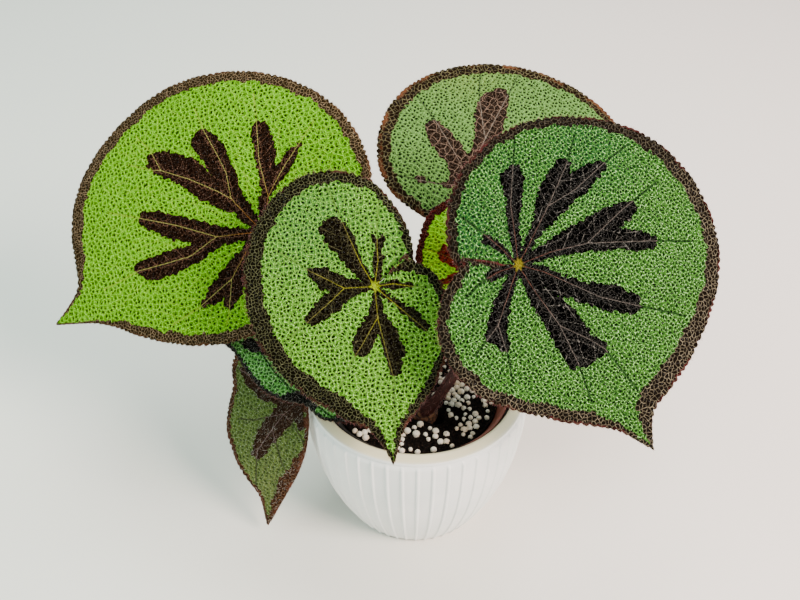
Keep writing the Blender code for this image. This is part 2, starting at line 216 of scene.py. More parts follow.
def start_tree(name, **sizes):
    """A geometry tree with named sizes and a finish, and its group input node."""
    tree = bpy.data.node_groups.new(name, "GeometryNodeTree")
    sockets = tree.interface
    sockets.new_socket("Geometry", in_out="INPUT", socket_type="NodeSocketGeometry")
    for key, value in sizes.items():
        kind = "NodeSocketInt" if isinstance(value, int) else "NodeSocketFloat"
        socket = sockets.new_socket(key.replace("_", " "), in_out="INPUT", socket_type=kind)
        socket.default_value = value
    sockets.new_socket("Finish", in_out="INPUT", socket_type="NodeSocketMaterial")
    sockets.new_socket("Geometry", in_out="OUTPUT", socket_type="NodeSocketGeometry")
    return tree, tree.nodes.new("NodeGroupInput").outputs


def end_tree(tree, given, geometry):
    """Ends a tree in real geometry with its finish."""
    real = add(tree, "GeometryNodeRealizeInstances", {"Geometry": geometry}).outputs["Geometry"]
    dressed = add(tree, "GeometryNodeSetMaterial", {"Geometry": real, "Material": given["Finish"]})
    add(tree, "NodeGroupOutput", {"Geometry": dressed.outputs["Geometry"]})
    return tree


def moved(geometry, height, way=None):
    """Geometry with its points moved by a height in metres, out along their normals or another way."""
    tree = geometry.id_data
    way = way or add(tree, "GeometryNodeInputNormal").outputs["Normal"]
    given = {"Geometry": geometry, "Offset": arrow("SCALE", way, height)}
    return add(tree, "GeometryNodeSetPosition", given).outputs["Geometry"]


def read(tree, name, vector=False):
    """A point attribute, in a geometry tree or a material."""
    if tree.type == "SHADER":
        return add(tree, "ShaderNodeAttribute", attribute_name=name).outputs["Vector" if vector else "Fac"]
    kind = "FLOAT_VECTOR" if vector else "FLOAT"
    return add(tree, "GeometryNodeInputNamedAttribute", {"Name": name}, data_type=kind).outputs["Attribute"]


def shaped(name, mesh, tree, finish, **sizes):
    """Runs a geometry tree on a mesh and keeps the result as one plain object."""
    piece = bpy.data.objects.new(name, mesh)
    bpy.context.collection.objects.link(piece)
    modifier = piece.modifiers.new(tree.name, "NODES")
    modifier.node_group = tree
    values = {key.replace("_", " "): value for key, value in sizes.items()} | {"Finish": finish}
    for item in tree.interface.items_tree:
        if item.in_out == "INPUT" and item.name in values:
            modifier[item.identifier] = values[item.name]
    graph = bpy.context.evaluated_depsgraph_get()
    plain = bpy.data.meshes.new_from_object(
        piece.evaluated_get(graph), preserve_all_data_layers=True, depsgraph=graph)
    piece.modifiers.remove(modifier)
    piece.data = plain
    return piece


def placed(name, mesh, finish):
    """A mesh as one object with its finish."""
    mesh.materials.append(finish)
    piece = bpy.data.objects.new(name, mesh)
    bpy.context.collection.objects.link(piece)
    return piece


def belly(height):
    """Outer radius of the pot's wall, at the tops of its ribs."""
    swell = 1.0 - (1.0 - np.minimum(height / WALL_TOP, 1.0)) ** BELLY_POWER
    return FOOT_RADIUS + (BELLY_RADIUS - FOOT_RADIUS) * swell


def pot_profile():
    """The pot's wall from the middle of its underside, up the outside and down the inside."""
    profile = [(0.0, FOOT_RECESS), (20.0, FOOT_RECESS), (FOOT_RADIUS - 4.4, FOOT_RECESS)]
    profile += [(FOOT_RADIUS - 3.6, 0.0), (FOOT_RADIUS - RIB_HEIGHT - 0.7, 0.0)]
    profile += [(FOOT_RADIUS - RIB_HEIGHT - 0.15, 0.2)]
    for height in (*np.arange(0.7, WALL_TOP - 2.0, 2.2), *np.arange(WALL_TOP - 1.6, LIP_FOLD - 0.1, 0.5)):
        drawn_in = (BELLY_RADIUS - LIP_RADIUS - 0.3) * smooth((height - WALL_TOP) / (LIP_FOLD - WALL_TOP))
        profile.append((belly(height) - drawn_in - RIB_HEIGHT, height))
    profile += [(LIP_RADIUS - RIB_HEIGHT, LIP_FOLD), (LIP_RADIUS - 0.1, LIP_FOLD + 0.3)]
    profile += [(LIP_RADIUS, LIP_FOLD + 0.6)]
    for turn in np.radians(np.arange(0.0, 91.0, 15.0)):
        drawn_in = LIP_ROUND * (1.0 - math.cos(turn))
        profile.append((LIP_RADIUS - drawn_in, LIP_EDGE + LIP_ROUND * math.sin(turn)))
    profile += [(LIP_RADIUS - 2.6, POT_HEIGHT - 0.3), (LIP_RADIUS - 4.0, POT_HEIGHT)]
    profile += [(LIP_RADIUS - 5.2, POT_HEIGHT)]
    profile += [(MOUTH_RADIUS + 0.3, POT_HEIGHT - 0.3), (MOUTH_RADIUS, POT_HEIGHT - 1.0)]
    profile += [(MOUTH_RADIUS + 0.2, POT_HEIGHT - 2.2)]
    profile += [(MOUTH_RADIUS + 3.0, POT_HEIGHT - 3.4), (BELLY_RADIUS - POT_WALL - 0.6, POT_HEIGHT - 6.0)]
    for height in (62.0, 48.0, 34.0, 20.0, 10.0):
        profile.append((belly(height) - POT_WALL, height))
    profile += [(FOOT_RADIUS - 0.2, POT_FLOOR + 1.0), (FOOT_RADIUS - 2.0, POT_FLOOR), (0.0, POT_FLOOR)]
    return profile


def rib_tree():
    """Raises upright ribs on a turned wall where its attribute fluted is 1."""
    tree, given = start_tree("upright ribs", Rib_Count=RIB_COUNT, Rib_Height=0.0, Half_Width=RIB_HALF_WIDTH)
    place = add(tree, "GeometryNodeInputPosition").outputs[0]
    turn = number("ARCTAN2", axis_of(place, "Y"), axis_of(place, "X"))
    off = number("PINGPONG", number("DIVIDE", times(turn, given["Rib Count"]), math.tau), 0.5)
    outer, inner = times(given["Half Width"], RIB_FOOT_SHARE), times(given["Half Width"], RIB_CREST_SHARE)
    rise = times(times(ramp(off, outer, inner), read(tree, "fluted")), given["Rib Height"])
    normal = add(tree, "GeometryNodeInputNormal").outputs["Normal"]
    level = arrow("NORMALIZE", arrow("MULTIPLY", normal, (1.0, 1.0, 0.0)))
    return end_tree(tree, given, moved(given["Geometry"], rise, level))


def pot_finish():
    """Satin white plastic, faintly uneven, with a cream tint on the lip that is painted shade and a painted
    reflection of the leaves.
    """
    material, place = start_finish("white satin plastic", 0.34)
    # The cream tint on the lip is painted shade and a painted reflection of the leaves above it.
    lip_shade_and_reflection = ramp(axis_of(place, "Z"), LIP_EDGE * MM, (LIP_EDGE + 0.9) * MM)
    cloud = ramp(grain(place, 25 * MM), 0.3, 0.7)
    white = coats(linear(226, 231, 228), (cloud, linear(235, 238, 235)), (lip_shade_and_reflection, linear(220, 213, 176)))
    speck = grain(place, 0.6 * MM, 3.0)
    given = {"Base Color": white, "Roughness": ramp(speck, 0.2, 0.8, 0.30, 0.40)}
    return end_finish(material, given, speck, 0.02 * MM)


turns = np.array([(rib + part) * math.tau / RIB_COUNT for rib in range(RIB_COUNT) for part in RIB_COLUMNS])
points, corners = turned(pot_profile(), turns)
radius = np.hypot(points[:, 0], points[:, 1])
outside = smooth((radius - belly(points[:, 2]) + 2.0) / 0.8)
fluted = outside * smooth((RIB_TOP - points[:, 2]) / 1.6) * (points[:, 2] > 0.1)
pot_mesh = plain_mesh("pot", points, corners, fluted=fluted)
pot = shaped("white_pot", pot_mesh, rib_tree(), pot_finish(), Rib_Height=RIB_HEIGHT * MM)
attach(pot, "root")
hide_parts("pot")

# Liner pot
# The thin brown nursery pot that the plant grew in, vacuum-formed with a flared collar.
# It stands loose inside the white pot, with one drain hole in its floor.
LINER_WALL = 1.1
LINER_FLOOR = POT_FLOOR + 0.3
LINER_RIM = 47.0
LINER_TOP = 78.0
DRAIN_RADIUS = 6.0
LINER_SIDES = 144
LINER_FOOT = 31.0
NECK_HEIGHT = 64.0
NECK_RADIUS = 38.4
COLLAR_HEIGHT = 68.6
COLLAR_RADIUS = 40.4


def liner_inner(height):
    """Inner radius of the liner at a height."""
    stops = (LINER_FLOOR, NECK_HEIGHT, COLLAR_HEIGHT, LINER_TOP)
    flare = 0.55 * (LINER_TOP - COLLAR_HEIGHT)
    return np.interp(height, stops, (LINER_FOOT, NECK_RADIUS, COLLAR_RADIUS, COLLAR_RADIUS + flare))


def liner_profile():
    """The liner's wall, out along its floor, up outside and down inside."""
    profile = [(DRAIN_RADIUS, LINER_FLOOR), (LINER_FOOT - 0.5, LINER_FLOOR)]
    profile += [(LINER_FOOT + 0.5, LINER_FLOOR + 0.5)]
    for height in (LINER_FLOOR + 1.6, 20.0, 40.0, NECK_HEIGHT - 0.6, NECK_HEIGHT, COLLAR_HEIGHT,
                   72.0, 75.5):
        profile.append((liner_inner(height) + LINER_WALL, height))
    for inset, below in ((0.4, 1.2), (0.0, 0.7), (0.1, 0.2), (0.5, 0.0), (0.9, 0.1)):
        profile.append((LINER_RIM - inset, LINER_TOP - below))
    for height in (77.2, 75.5, 72.0, COLLAR_HEIGHT + 0.6, COLLAR_HEIGHT,
                   NECK_HEIGHT, NECK_HEIGHT - 0.6, 40.0, 20.0):
        profile.append((liner_inner(height), height))
    profile += [(liner_inner(LINER_FLOOR + 2.6), LINER_FLOOR + 2.6)]
    profile += [(LINER_FOOT - 1.0, LINER_FLOOR + LINER_WALL)]
    profile += [(DRAIN_RADIUS, LINER_FLOOR + LINER_WALL)]
    return profile


def liner_finish():
    """Matt red-brown plastic, scuffed, darker lower down towards the mix and darker on all but its right
    side.
    """
    material, place = start_finish("brown liner plastic", 0.5)
    stain = grain(place, 6 * MM, 4.0, 0.6)
    level = plus(axis_of(place, "Z"), ramp(stain, 0.0, 1.0, -3 * MM, 3 * MM))
    # The brown darkens lower down, and on all but the right side.
    darker_low = ramp(level, (LINER_TOP - 3.0) * MM, COLLAR_HEIGHT * MM, 0.0, 0.6)
    across = plus(axis_of(place, "X"), ramp(stain, 0.0, 1.0, -9 * MM, 9 * MM))
    darker_but_right = ramp(across, 30 * MM, 20 * MM)
    brown = coats(linear(124, 62, 42), (darker_low, linear(56, 32, 23)), (darker_but_right, linear(26, 20, 18)))
    given = {"Base Color": brown, "Roughness": ramp(stain, 0.3, 0.7, 0.42, 0.62)}
    return end_finish(material, given, grain(place, 1.2 * MM, 3.0), 0.05 * MM)


points, corners = turned(liner_profile(), np.arange(LINER_SIDES) * math.tau / LINER_SIDES, closed=True)
liner = placed("brown_liner", plain_mesh("liner", points, corners), liner_finish())
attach(liner, "root")
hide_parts("liner_pot")

# Rhizome
# The thick stem that creeps half buried across the mix and carries every leaf.
# It is scaly and brown, and ringed with old leaf scars; the stalks rise from its upper side.
RHIZOME_START = Vector((-27.0, 8.0, 71.0))
RHIZOME_END = Vector((9.0, -17.0, 71.0))
RHIZOME_RADIUS = 7.5
RHIZOME_RINGS = 56
RHIZOME_SIDES = 40
SCAR_SPACING = 5.2


def unit(way):
    """Each row of vectors at length 1."""
    return way / np.maximum(np.linalg.norm(way, axis=-1, keepdims=True), 1e-9)


def tube(path, radii, sides):
    """A closed round tube along a path, with its points, triangles, side ways and place along."""
    path = np.asarray(path, float)
    ahead = unit(np.gradient(path, axis=0))
    side = np.cross(ahead[0], (0.0, 0.0, 1.0))
    if np.linalg.norm(side) < 0.1:
        side = np.cross(ahead[0], (0.0, 1.0, 0.0))
    turns = np.arange(sides) * math.tau / sides
    points, ways, rows = [path[:1]], [-ahead[:1]], [np.array([0])]
    for number_along, (spot, way, radius) in enumerate(zip(path, ahead, radii)):
        side = unit(side - way * np.dot(side, way))
        other = np.cross(way, side)
        out = np.outer(np.cos(turns), side) + np.outer(np.sin(turns), other)
        rows.append(1 + number_along * sides + np.arange(sides))
        points.append(spot + out * radius)
        ways.append(out)
    rows.append(np.array([1 + len(path) * sides]))
    points = np.concatenate([*points, path[-1:]])
    share = np.concatenate([[0.0], np.repeat(np.linspace(0.0, 1.0, len(path)), sides), [1.0]])
    return points, ring_faces(rows), np.concatenate([*ways, ahead[-1:]]), share


def rhizome_finish():
    """Scaly brown bark with paler torn scales and dark cracks."""
    material, place = start_finish("rhizome bark", 0.75, 0.35)
    bark = grain(place, 2.2 * MM, 5.0, 0.65)
    scales = add(material.node_tree, "ShaderNodeTexVoronoi", {"Vector": place, "Scale": 1.0 / (1.8 * MM)})
    crack = ramp(scales.outputs["Distance"], 0.45, 0.8)
    torn = ramp(bark, 0.35, 0.7)
    brown = coats(linear(58, 34, 24), (torn, linear(124, 84, 54)), (crack, linear(34, 20, 15)))
    return end_finish(material, {"Base Color": brown}, less(bark, crack), 0.5 * MM)


def rhizome_line(share):
    """Middle of the rhizome, which humps slightly, at shares of its length."""
    share = np.asarray(share, float)
    line = np.outer(1.0 - share, RHIZOME_START) + np.outer(share, RHIZOME_END)
    line[:, 2] += 0.8 * np.sin(np.pi * share)
    return line


def rhizome_girth(share):
    """Radius along the rhizome, drawn in at its ends."""
    return RHIZOME_RADIUS * np.sin(np.pi * (0.12 + 0.76 * share)) ** 0.5


share = np.linspace(0.0, 1.0, RHIZOME_RINGS)
length = (RHIZOME_END - RHIZOME_START).length
scars = 0.5 + 0.5 * np.cos(share * length / SCAR_SPACING * math.tau)
girth = rhizome_girth(share) * (1.0 - 0.05 * (1.0 - scars ** 3))
girth[0] *= 0.55
girth[-1] *= 0.55
points, corners, ways, _ = tube(rhizome_line(share), girth, RHIZOME_SIDES)
lumps = np.sin(points[:, 0] * 1.9 + 1.3 * np.sin(points[:, 1] * 1.4))
lumps *= np.sin(points[:, 2] * 2.1 + points[:, 1])
rhizome_points = points + ways * (0.28 * lumps)[:, None]
rhizome_mesh = plain_mesh("rhizome", rhizome_points, corners)
rhizome = placed("creeping_rhizome", rhizome_mesh, rhizome_finish())
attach(rhizome, "root")
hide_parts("rhizome")

# Potting mix
# Dark crumbly peat that fills the liner, pressed round the rhizome.
# White perlite beads, blown from volcanic glass, lie loose and thick on top.
SOIL_TOP = 72.0
SOIL_RADIUS = 41.5
SOIL_RINGS = 62
SOIL_COLUMNS = 220
CRUMB_HEIGHT = 1.7
CRUMB_SIZE = 1.6
BEAD_RADIUS = 1.9
BEAD_SEED = 4
BEAD_CLEARANCE = 1.45
BEADS_PER_SQUARE_METRE = 260000.0


def crumb_tree():
    """Raises crumbs and hollows where the attribute open is 1."""
    tree, given = start_tree("peat crumbs", Crumb_Height=0.0, Crumb_Size=0.0)
    place = add(tree, "GeometryNodeInputPosition").outputs[0]
    noise = grain(arrow("SCALE", place, number("DIVIDE", 1.0, given["Crumb Size"])), 1.0, 3.0, 0.6)
    lumps = times(ramp(noise, 0.3, 0.7, -0.6, 0.6), read(tree, "open"))
    return end_tree(tree, given, moved(given["Geometry"], times(lumps, given["Crumb Height"])))


def bead_tree():
    """Scatters uneven round beads, seeded, where the attribute open is 1."""
    tree, given = start_tree("perlite beads", Beads_Per_Square_Metre=1.0, Bead_Radius=0.0, Seed=0)
    spread = add(tree, "GeometryNodeDistributePointsOnFaces", {
        "Mesh": given["Geometry"], "Seed": given["Seed"],
        "Distance Min": times(given["Bead Radius"], BEAD_CLEARANCE),
        "Density Max": given["Beads Per Square Metre"], "Density Factor": read(tree, "open"),
    }, distribute_method="POISSON")
    ball = add(tree, "GeometryNodeMeshIcoSphere", {"Subdivisions": 2, "Radius": given["Bead Radius"]})
    turn = add(tree, "FunctionNodeRandomValue", {"Max": 3 * (math.tau,)}, data_type="FLOAT_VECTOR")
    size = add(tree, "FunctionNodeRandomValue", {"Min": 0.55, "Max": 1.0, "Seed": 3}, data_type="FLOAT")
    copies = add(tree, "GeometryNodeInstanceOnPoints", {
        "Points": spread.outputs["Points"], "Instance": ball.outputs["Mesh"],
        "Rotation": turn.outputs["Value"], "Scale": size.outputs["Value"],
    })
    real = add(tree, "GeometryNodeRealizeInstances", {"Geometry": copies.outputs["Instances"]})
    place = add(tree, "GeometryNodeInputPosition").outputs[0]
    dents = ramp(grain(place, 1.6 * MM), 0.25, 0.75, -0.07 * MM, 0.07 * MM)
    skin = add(tree, "GeometryNodeSetShadeSmooth", {"Geometry": moved(real.outputs["Geometry"], dents)})
    return end_tree(tree, given, skin.outputs["Geometry"])


def mix_finish():
    """Near-black damp peat with brown crumbs."""
    material, place = start_finish("damp peat", 0.9, 0.08)
    crumbs = grain(place, 1.1 * MM, 5.0, 0.65)
    fleck = ramp(grain(place, 0.5 * MM, 2.0), 0.62, 0.72)
    dark = coats(linear(3, 2, 2), (ramp(crumbs, 0.4, 0.7), linear(27, 20, 16)), (fleck, linear(74, 56, 43)))
    return end_finish(material, {"Base Color": dark}, crumbs, 0.8 * MM)


def bead_finish():
    """Chalky white perlite with warm dirty hollows."""
    material, place = start_finish("perlite", 0.85, 0.3)
    dirt = ramp(grain(place, 6 * MM, 2.0), 0.35, 0.6)
    white = tint(dirt, linear(232, 214, 186), linear(250, 244, 226))
    chalk = tint(ramp(grain(place, 0.9 * MM, 4.0, 0.6), 0.30, 0.46), linear(178, 152, 116), white)
    return end_finish(material, {"Base Color": chalk}, grain(place, 0.5 * MM, 4.0, 0.6), 0.3 * MM)


def beside_rhizome(points):
    """Distance of points from the rhizome's middle line seen from above, and the share along it."""
    start, line = np.array(RHIZOME_START[:2]), np.array((RHIZOME_END - RHIZOME_START)[:2])
    share = np.clip((points[:, :2] - start) @ line / (line @ line), 0.0, 1.0)
    return np.linalg.norm(points[:, :2] - start - share[:, None] * line, axis=1), share


sides = [(0.0, LINER_FLOOR + 1.4), (LINER_FOOT - 1.6, LINER_FLOOR + 1.4)]
for height in (LINER_FLOOR + 3.0, 20.0, 40.0, NECK_HEIGHT - 0.4, COLLAR_HEIGHT - 0.2, 70.0, 71.0):
    sides.append((float(liner_inner(height)) - 0.3, height))
tops = [(reach, SOIL_TOP) for reach in np.linspace(SOIL_RADIUS, 0.0, SOIL_RINGS)]
points, corners = turned(sides + tops, np.arange(SOIL_COLUMNS) * math.tau / SOIL_COLUMNS)
on_top = points[:, 2] > SOIL_TOP - 0.1
off, share = beside_rhizome(points)
girth = rhizome_girth(share)
bottom = 71.0 + 0.8 * np.sin(np.pi * share) - np.sqrt(np.maximum(girth ** 2 - off ** 2, 0.0)) - 0.3
points[:, 2] = np.where(on_top & (off < girth), np.minimum(points[:, 2], bottom), points[:, 2])
mounds = 0.7 * np.sin(points[:, 0] * 0.19 + 1.0) * np.sin(points[:, 1] * 0.23 + 0.4)
points[:, 2] += np.where(on_top & (off > girth), mounds, 0.0)
edge = smooth((SOIL_RADIUS - np.hypot(points[:, 0], points[:, 1])) / 2.0)
open_top = on_top * smooth((off - girth) / 1.5) * edge
mix_mesh = plain_mesh("mix", points, corners, open=open_top)
heaps = np.sin(points[:, 0] * 0.31 + 1.8 * np.sin(points[:, 1] * 0.17)) * np.sin(points[:, 1] * 0.27 + 0.9)
heaps = 0.5 + 0.5 * heaps
thick = open_top * smooth((off - girth - 1.0) / 1.0) * smooth((heaps - 0.15) / 0.4)
bead_ground = plain_mesh("bead_ground", points, corners, open=thick)
mix = shaped("peat_mix", mix_mesh, crumb_tree(), mix_finish(),
             Crumb_Height=CRUMB_HEIGHT * MM, Crumb_Size=CRUMB_SIZE * MM)
beads = shaped("perlite_beads", bead_ground, bead_tree(), bead_finish(),
               Beads_Per_Square_Metre=BEADS_PER_SQUARE_METRE, Bead_Radius=BEAD_RADIUS * MM, Seed=BEAD_SEED)
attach(mix, "root")
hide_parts("potting_mix")
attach(beads, "root")

# Leaves as measured
# Each leaf is a stalk and a lopsided heart-shaped blade with a drip tip and lapped lobes.
# Lengths are millimetres and angles degrees round the stalk from the tip, big side first.
LEAVES = {
    "a": {
        "joint": (-73, 23, 156), "lean": 46, "lean_heading": -112, "tip_heading": -177.5,
        "hand": -1, "droop": 10, "roll": 10, "drip_tip": 29, "sinus": 232,
        "margin": (100, 115, 106, 88, 75, 65, 56, 44, 27, 42, 52, 70),
        "veins": (16, 63, 114, 160, 200, -38, -88),
        "stalk_site": (14, 3), "stalk_bows": ((-24, 8, 112), (-66, 40, 139)), "stalk_radii": (2.8, 2.2),
    },
    "b": {
        "joint": (-19, -24, 159.5), "lean": 48, "lean_heading": -95, "tip_heading": -81.5,
        "hand": -1, "droop": 12, "roll": 12, "drip_tip": 17, "sinus": 235,
        "margin": (60, 56, 56, 57, 60, 59, 48, 30, 19, 28, 36, 47),
        "veins": (0, 43, 88, 123, 158, 187, -49, -85),
        "stalk_site": (20, -3), "stalk_bows": ((-8, -1, 107), (-11, -2, 139)), "stalk_radii": (2.7, 2.1),
    },
    "c": {
        "joint": (40, -33.5, 178), "lean": 46, "lean_heading": -80, "tip_heading": -39,
        "hand": 1, "droop": 10, "roll": 10, "drip_tip": 17, "sinus": 232,
        "margin": (79, 85, 92, 85, 70, 55, 42, 31, 24, 42, 54, 62),
        "veins": (0, 35, 73, 110, 146, 192, -54, -97),
        "stalk_site": (39, -1), "stalk_bows": ((20, -22, 104), (36, -12, 152)), "stalk_radii": (2.8, 2.2),
    },
    "d": {
        "joint": (29.5, 75, 148), "lean": 34, "lean_heading": -80, "tip_heading": -23,
        "hand": 1, "droop": 10, "roll": 10, "drip_tip": 18, "sinus": 246,
        "margin": (86, 93, 97, 86, 78, 69, 57, 44, 30, 36, 50, 64),
        "veins": (0, 35, 70, 107, 150, 202, -54, -90),
        "stalk_site": (26, 3), "stalk_bows": ((2, 20, 112), (25, 84, 125)), "stalk_radii": (2.8, 2.2),
    },
    "e": {
        "joint": (29, 13, 142), "lean": 40, "lean_heading": -105, "tip_heading": -121,
        "hand": -1, "droop": 14, "roll": 14, "drip_tip": 8, "sinus": 240,
        "margin": (36, 33, 31, 32, 38, 39, 36, 29, 17, 22, 24, 28),
        "veins": (0, 45, 88, 130, 175, -50),
        "stalk_site": (33, 3), "stalk_bows": ((6, 4, 100), (32, 26, 122)), "stalk_radii": (2.2, 1.7),
    },
    "f": {
        "joint": (-48, -21, 109), "lean": 45, "lean_heading": -108, "tip_heading": 160,
        "hand": -1, "droop": 15, "roll": 20, "drip_tip": 9, "sinus": 190,
        "margin": (41, 42, 42, 40, 38, 35, 25, 31, 25, 18, 21, 30),
        "veins": (3, 45, 90, 140, -34, -76, -136),
        "stalk_site": (10, -3), "stalk_bows": ((-19, -3, 100), (-40, -14, 102)), "stalk_radii": (2.3, 1.8),
    },
    "g": {
        "joint": (-55, -20, 95), "lean": 72, "lean_heading": -112, "tip_heading": -143,
        "hand": -1, "droop": 10, "roll": 20, "drip_tip": 26, "sinus": 205,
        "margin": (66, 60, 42, 38, 28, 15, 11, 9, 8, 8, 9, 12),
        "veins": (0, 28, 65, 110, -40),
        "stalk_site": (4, 1), "stalk_bows": ((-28, 3, 92), (-44, -9, 95)), "stalk_radii": (2.3, 1.8),
    },
}
BLADE_THICKNESS = 0.9


def leaf_frame(leaf):
    """The stalk's joint, and the ways to the tip, to the left and out of the face."""
    lean, heading, way = (math.radians(leaf[key]) for key in ("lean", "lean_heading", "tip_heading"))
    level = math.sin(lean)
    face = np.array((level * math.cos(heading), level * math.sin(heading), math.cos(lean)))
    tip = np.array((math.cos(way), math.sin(way), 0.0))
    tip[2] = -(face[0] * tip[0] + face[1] * tip[1]) / face[2]
    tip = unit(tip)
    return np.array(leaf["joint"], float), tip, np.cross(face, tip), face


# Leaf stalks
# Round juicy stalks, thickest where they leave the rhizome, dark red and set with soft pale hairs.
# Each one bends round at its head and runs into the back of its blade.
STALK_STEPS = 60
STALK_SIDES = 18
STALK_FOOT = 73.0
STALK_EXIT = 74.5
STALK_NECK = 2.0
STALK_HAIRS_PER_MM = 9
HAIR_SEED = 12


def stalk_line(leaf):
    """Points along a stalk from the rhizome to inside the blade, and its radii."""
    joint, _, _, face = leaf_frame(leaf)
    along, across = leaf["stalk_site"]
    line = np.array((RHIZOME_END - RHIZOME_START)[:2])
    line = line / np.linalg.norm(line)
    foot = np.array(RHIZOME_START[:2]) + line * along + np.array((-line[1], line[0])) * across
    foot = np.array([*foot, STALK_EXIT])
    head = joint - face * (BLADE_THICKNESS + 0.3)
    start, end = foot, head - face * STALK_NECK
    bow_one, bow_two = (np.array(bow, float) for bow in leaf["stalk_bows"])
    t = np.linspace(0.0, 1.0, STALK_STEPS)[:, None]
    s = 1.0 - t
    curve = start * s ** 3 + bow_one * 3 * s * s * t + bow_two * 3 * s * t * t + end * t ** 3
    sunk = foot + unit(foot - curve[1]) * (foot[2] - STALK_FOOT)
    path = np.concatenate([[sunk], curve, [head, joint - face * BLADE_THICKNESS * 0.6]])
    share = np.linspace(0.0, 1.0, len(path))
    low, high = leaf["stalk_radii"]
    uneven = 1.0 + 0.03 * np.sin(share * 31.0) + 0.02 * np.sin(share * 57.0 + 1.0)
    radii = (low + (high - low) * share) * uneven
    radii[1:6] *= 1.0 + 0.22 * (1.0 - np.arange(5) / 5.0)
    radii[-4:] *= (1.03, 1.10, 1.22, 1.22)
    return path, radii


def stalk_finish():
    """Dark red skin with paler lengthways streaks, greener towards the head."""
    material, place = start_finish("red stalk skin", 0.45, 0.25)
    tree = material.node_tree
    along = read(tree, "along")
    streaks = add(tree, "ShaderNodeCombineXYZ", {"X": times(along, 5.0), "Y": read(tree, "around")})
    red = coats(
        linear(40, 15, 14),
        (ramp(grain(streaks.outputs[0], 0.22, 4.0, 0.6), 0.35, 0.7), linear(74, 35, 31)),
        (ramp(grain(place, 5 * MM, 3.0), 0.4, 0.65), linear(62, 28, 24)),
        (ramp(along, 0.86, 1.0, 0.0, 0.45), linear(130, 122, 50)))
    return end_finish(material, {"Base Color": red}, grain(place, 0.5 * MM, 3.0), 0.12 * MM)


def hair_tree():
    """Stands a bent, tapering hair on every point, along the point's attribute way."""
    tree, given = start_tree("soft hairs", Hair_Length=0.0, Hair_Radius=0.0, Bend=0.3, Spread=0.5, Seed=0)
    length = given["Hair Length"]
    middle = add(tree, "ShaderNodeCombineXYZ", {"Z": times(length, 0.55)})
    end = add(tree, "ShaderNodeCombineXYZ", {"X": times(length, given["Bend"]), "Z": length})
    stem = add(tree, "GeometryNodeCurveQuadraticBezier", {
        "Resolution": 2, "Start": (0.0, 0.0, 0.0), "Middle": middle.outputs[0], "End": end.outputs[0],
    }).outputs["Curve"]
    thin = ramp(add(tree, "GeometryNodeSplineParameter").outputs["Factor"], 0.0, 1.0, 1.0, 0.15)
    taper = add(tree, "GeometryNodeSetCurveRadius", {"Curve": stem, "Radius": thin}).outputs["Curve"]
    ring = add(tree, "GeometryNodeCurvePrimitiveCircle", {"Resolution": 3, "Radius": given["Hair Radius"]})
    hair = add(tree, "GeometryNodeCurveToMesh", {
        "Curve": taper, "Profile Curve": ring.outputs["Curve"], "Fill Caps": True,
    })
    stray = add(tree, "FunctionNodeRandomValue", {
        "Min": (-1.0, -1.0, -1.0), "Max": (1.0, 1.0, 1.0), "Seed": given["Seed"],
    }, data_type="FLOAT_VECTOR")
    lean = arrow("SCALE", stray.outputs["Value"], given["Spread"])
    way = arrow("ADD", read(tree, "way", vector=True), lean)
    turn = add(tree, "FunctionNodeAlignRotationToVector", {"Vector": way}, axis="Z")
    spin = add(tree, "FunctionNodeRandomValue", {"Max": math.tau}, data_type="FLOAT")
    about = add(tree, "FunctionNodeAxisAngleToRotation", {
        "Axis": (0.0, 0.0, 1.0), "Angle": spin.outputs["Value"],
    })
    twirl = add(tree, "FunctionNodeRotateRotation", {
        "Rotation": turn.outputs["Rotation"], "Rotate By": about.outputs["Rotation"],
    }, rotation_space="LOCAL")
    size = add(tree, "FunctionNodeRandomValue", {"Min": 0.55, "Max": 1.15}, data_type="FLOAT")
    spots = add(tree, "GeometryNodeMeshToPoints", {"Mesh": given["Geometry"]})
    copies = add(tree, "GeometryNodeInstanceOnPoints", {
        "Points": spots.outputs["Points"], "Instance": hair.outputs["Mesh"],
        "Rotation": twirl.outputs["Rotation"], "Scale": size.outputs["Value"],
    })
    return end_tree(tree, given, copies.outputs["Instances"])


def hair_finish(name, root, end):
    """Fine hairs, one colour with a lighter cast in places."""
    material, place = start_finish(name, 0.5)
    return end_finish(material, {"Base Color": tint(ramp(grain(place, 3 * MM), 0.35, 0.65), root, end)})


def haired(name, spots, ways, colours, **sizes):
    """Hairs on loose points, each along its own way, as one object."""
    mesh = bpy.data.meshes.new(name.replace("hairs", "hair_sites"))
    mesh.vertices.add(len(spots))
    mesh.vertices.foreach_set("co", (np.asarray(spots, np.float32) * MM).ravel())
    attribute = mesh.attributes.new("way", "FLOAT_VECTOR", "POINT")
    attribute.data.foreach_set("vector", np.asarray(ways, np.float32).ravel())
    return shaped(name, mesh, soft_hairs, hair_finish(*colours), **sizes)


stalk_skin = stalk_finish()
soft_hairs = hair_tree()
hair_rng = np.random.default_rng(HAIR_SEED)
hair_spots, hair_ways = [], []
for letter, leaf in LEAVES.items():
    path, radii = stalk_line(leaf)
    points, corners, ways, share = tube(path, radii, STALK_SIDES)
    around = np.concatenate([[0.0], np.tile(np.arange(STALK_SIDES) / STALK_SIDES, len(path)), [0.0]])
    around = np.abs(around - 0.5) * 2.0
    stalk_mesh = plain_mesh("stalk", points, corners, along=share, around=around)
    stalk = placed("leaf_stalk_" + letter, stalk_mesh, stalk_skin)
    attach(stalk, "root")
    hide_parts("stalk_" + letter)
    stretch = np.linalg.norm(np.diff(path, axis=0), axis=1).sum()
    hairs = int(stretch * STALK_HAIRS_PER_MM)
    picked = hair_rng.integers(STALK_SIDES * 3, len(points) - STALK_SIDES * 4, hairs)
    nearby = hair_rng.integers(0, 2, len(picked))
    part = hair_rng.random((len(picked), 1))
    other = picked + np.where(nearby, STALK_SIDES, 1)
    hair_spots.append(points[picked] * (1.0 - part) + points[other] * part)
    hair_ways.append(ways[picked])
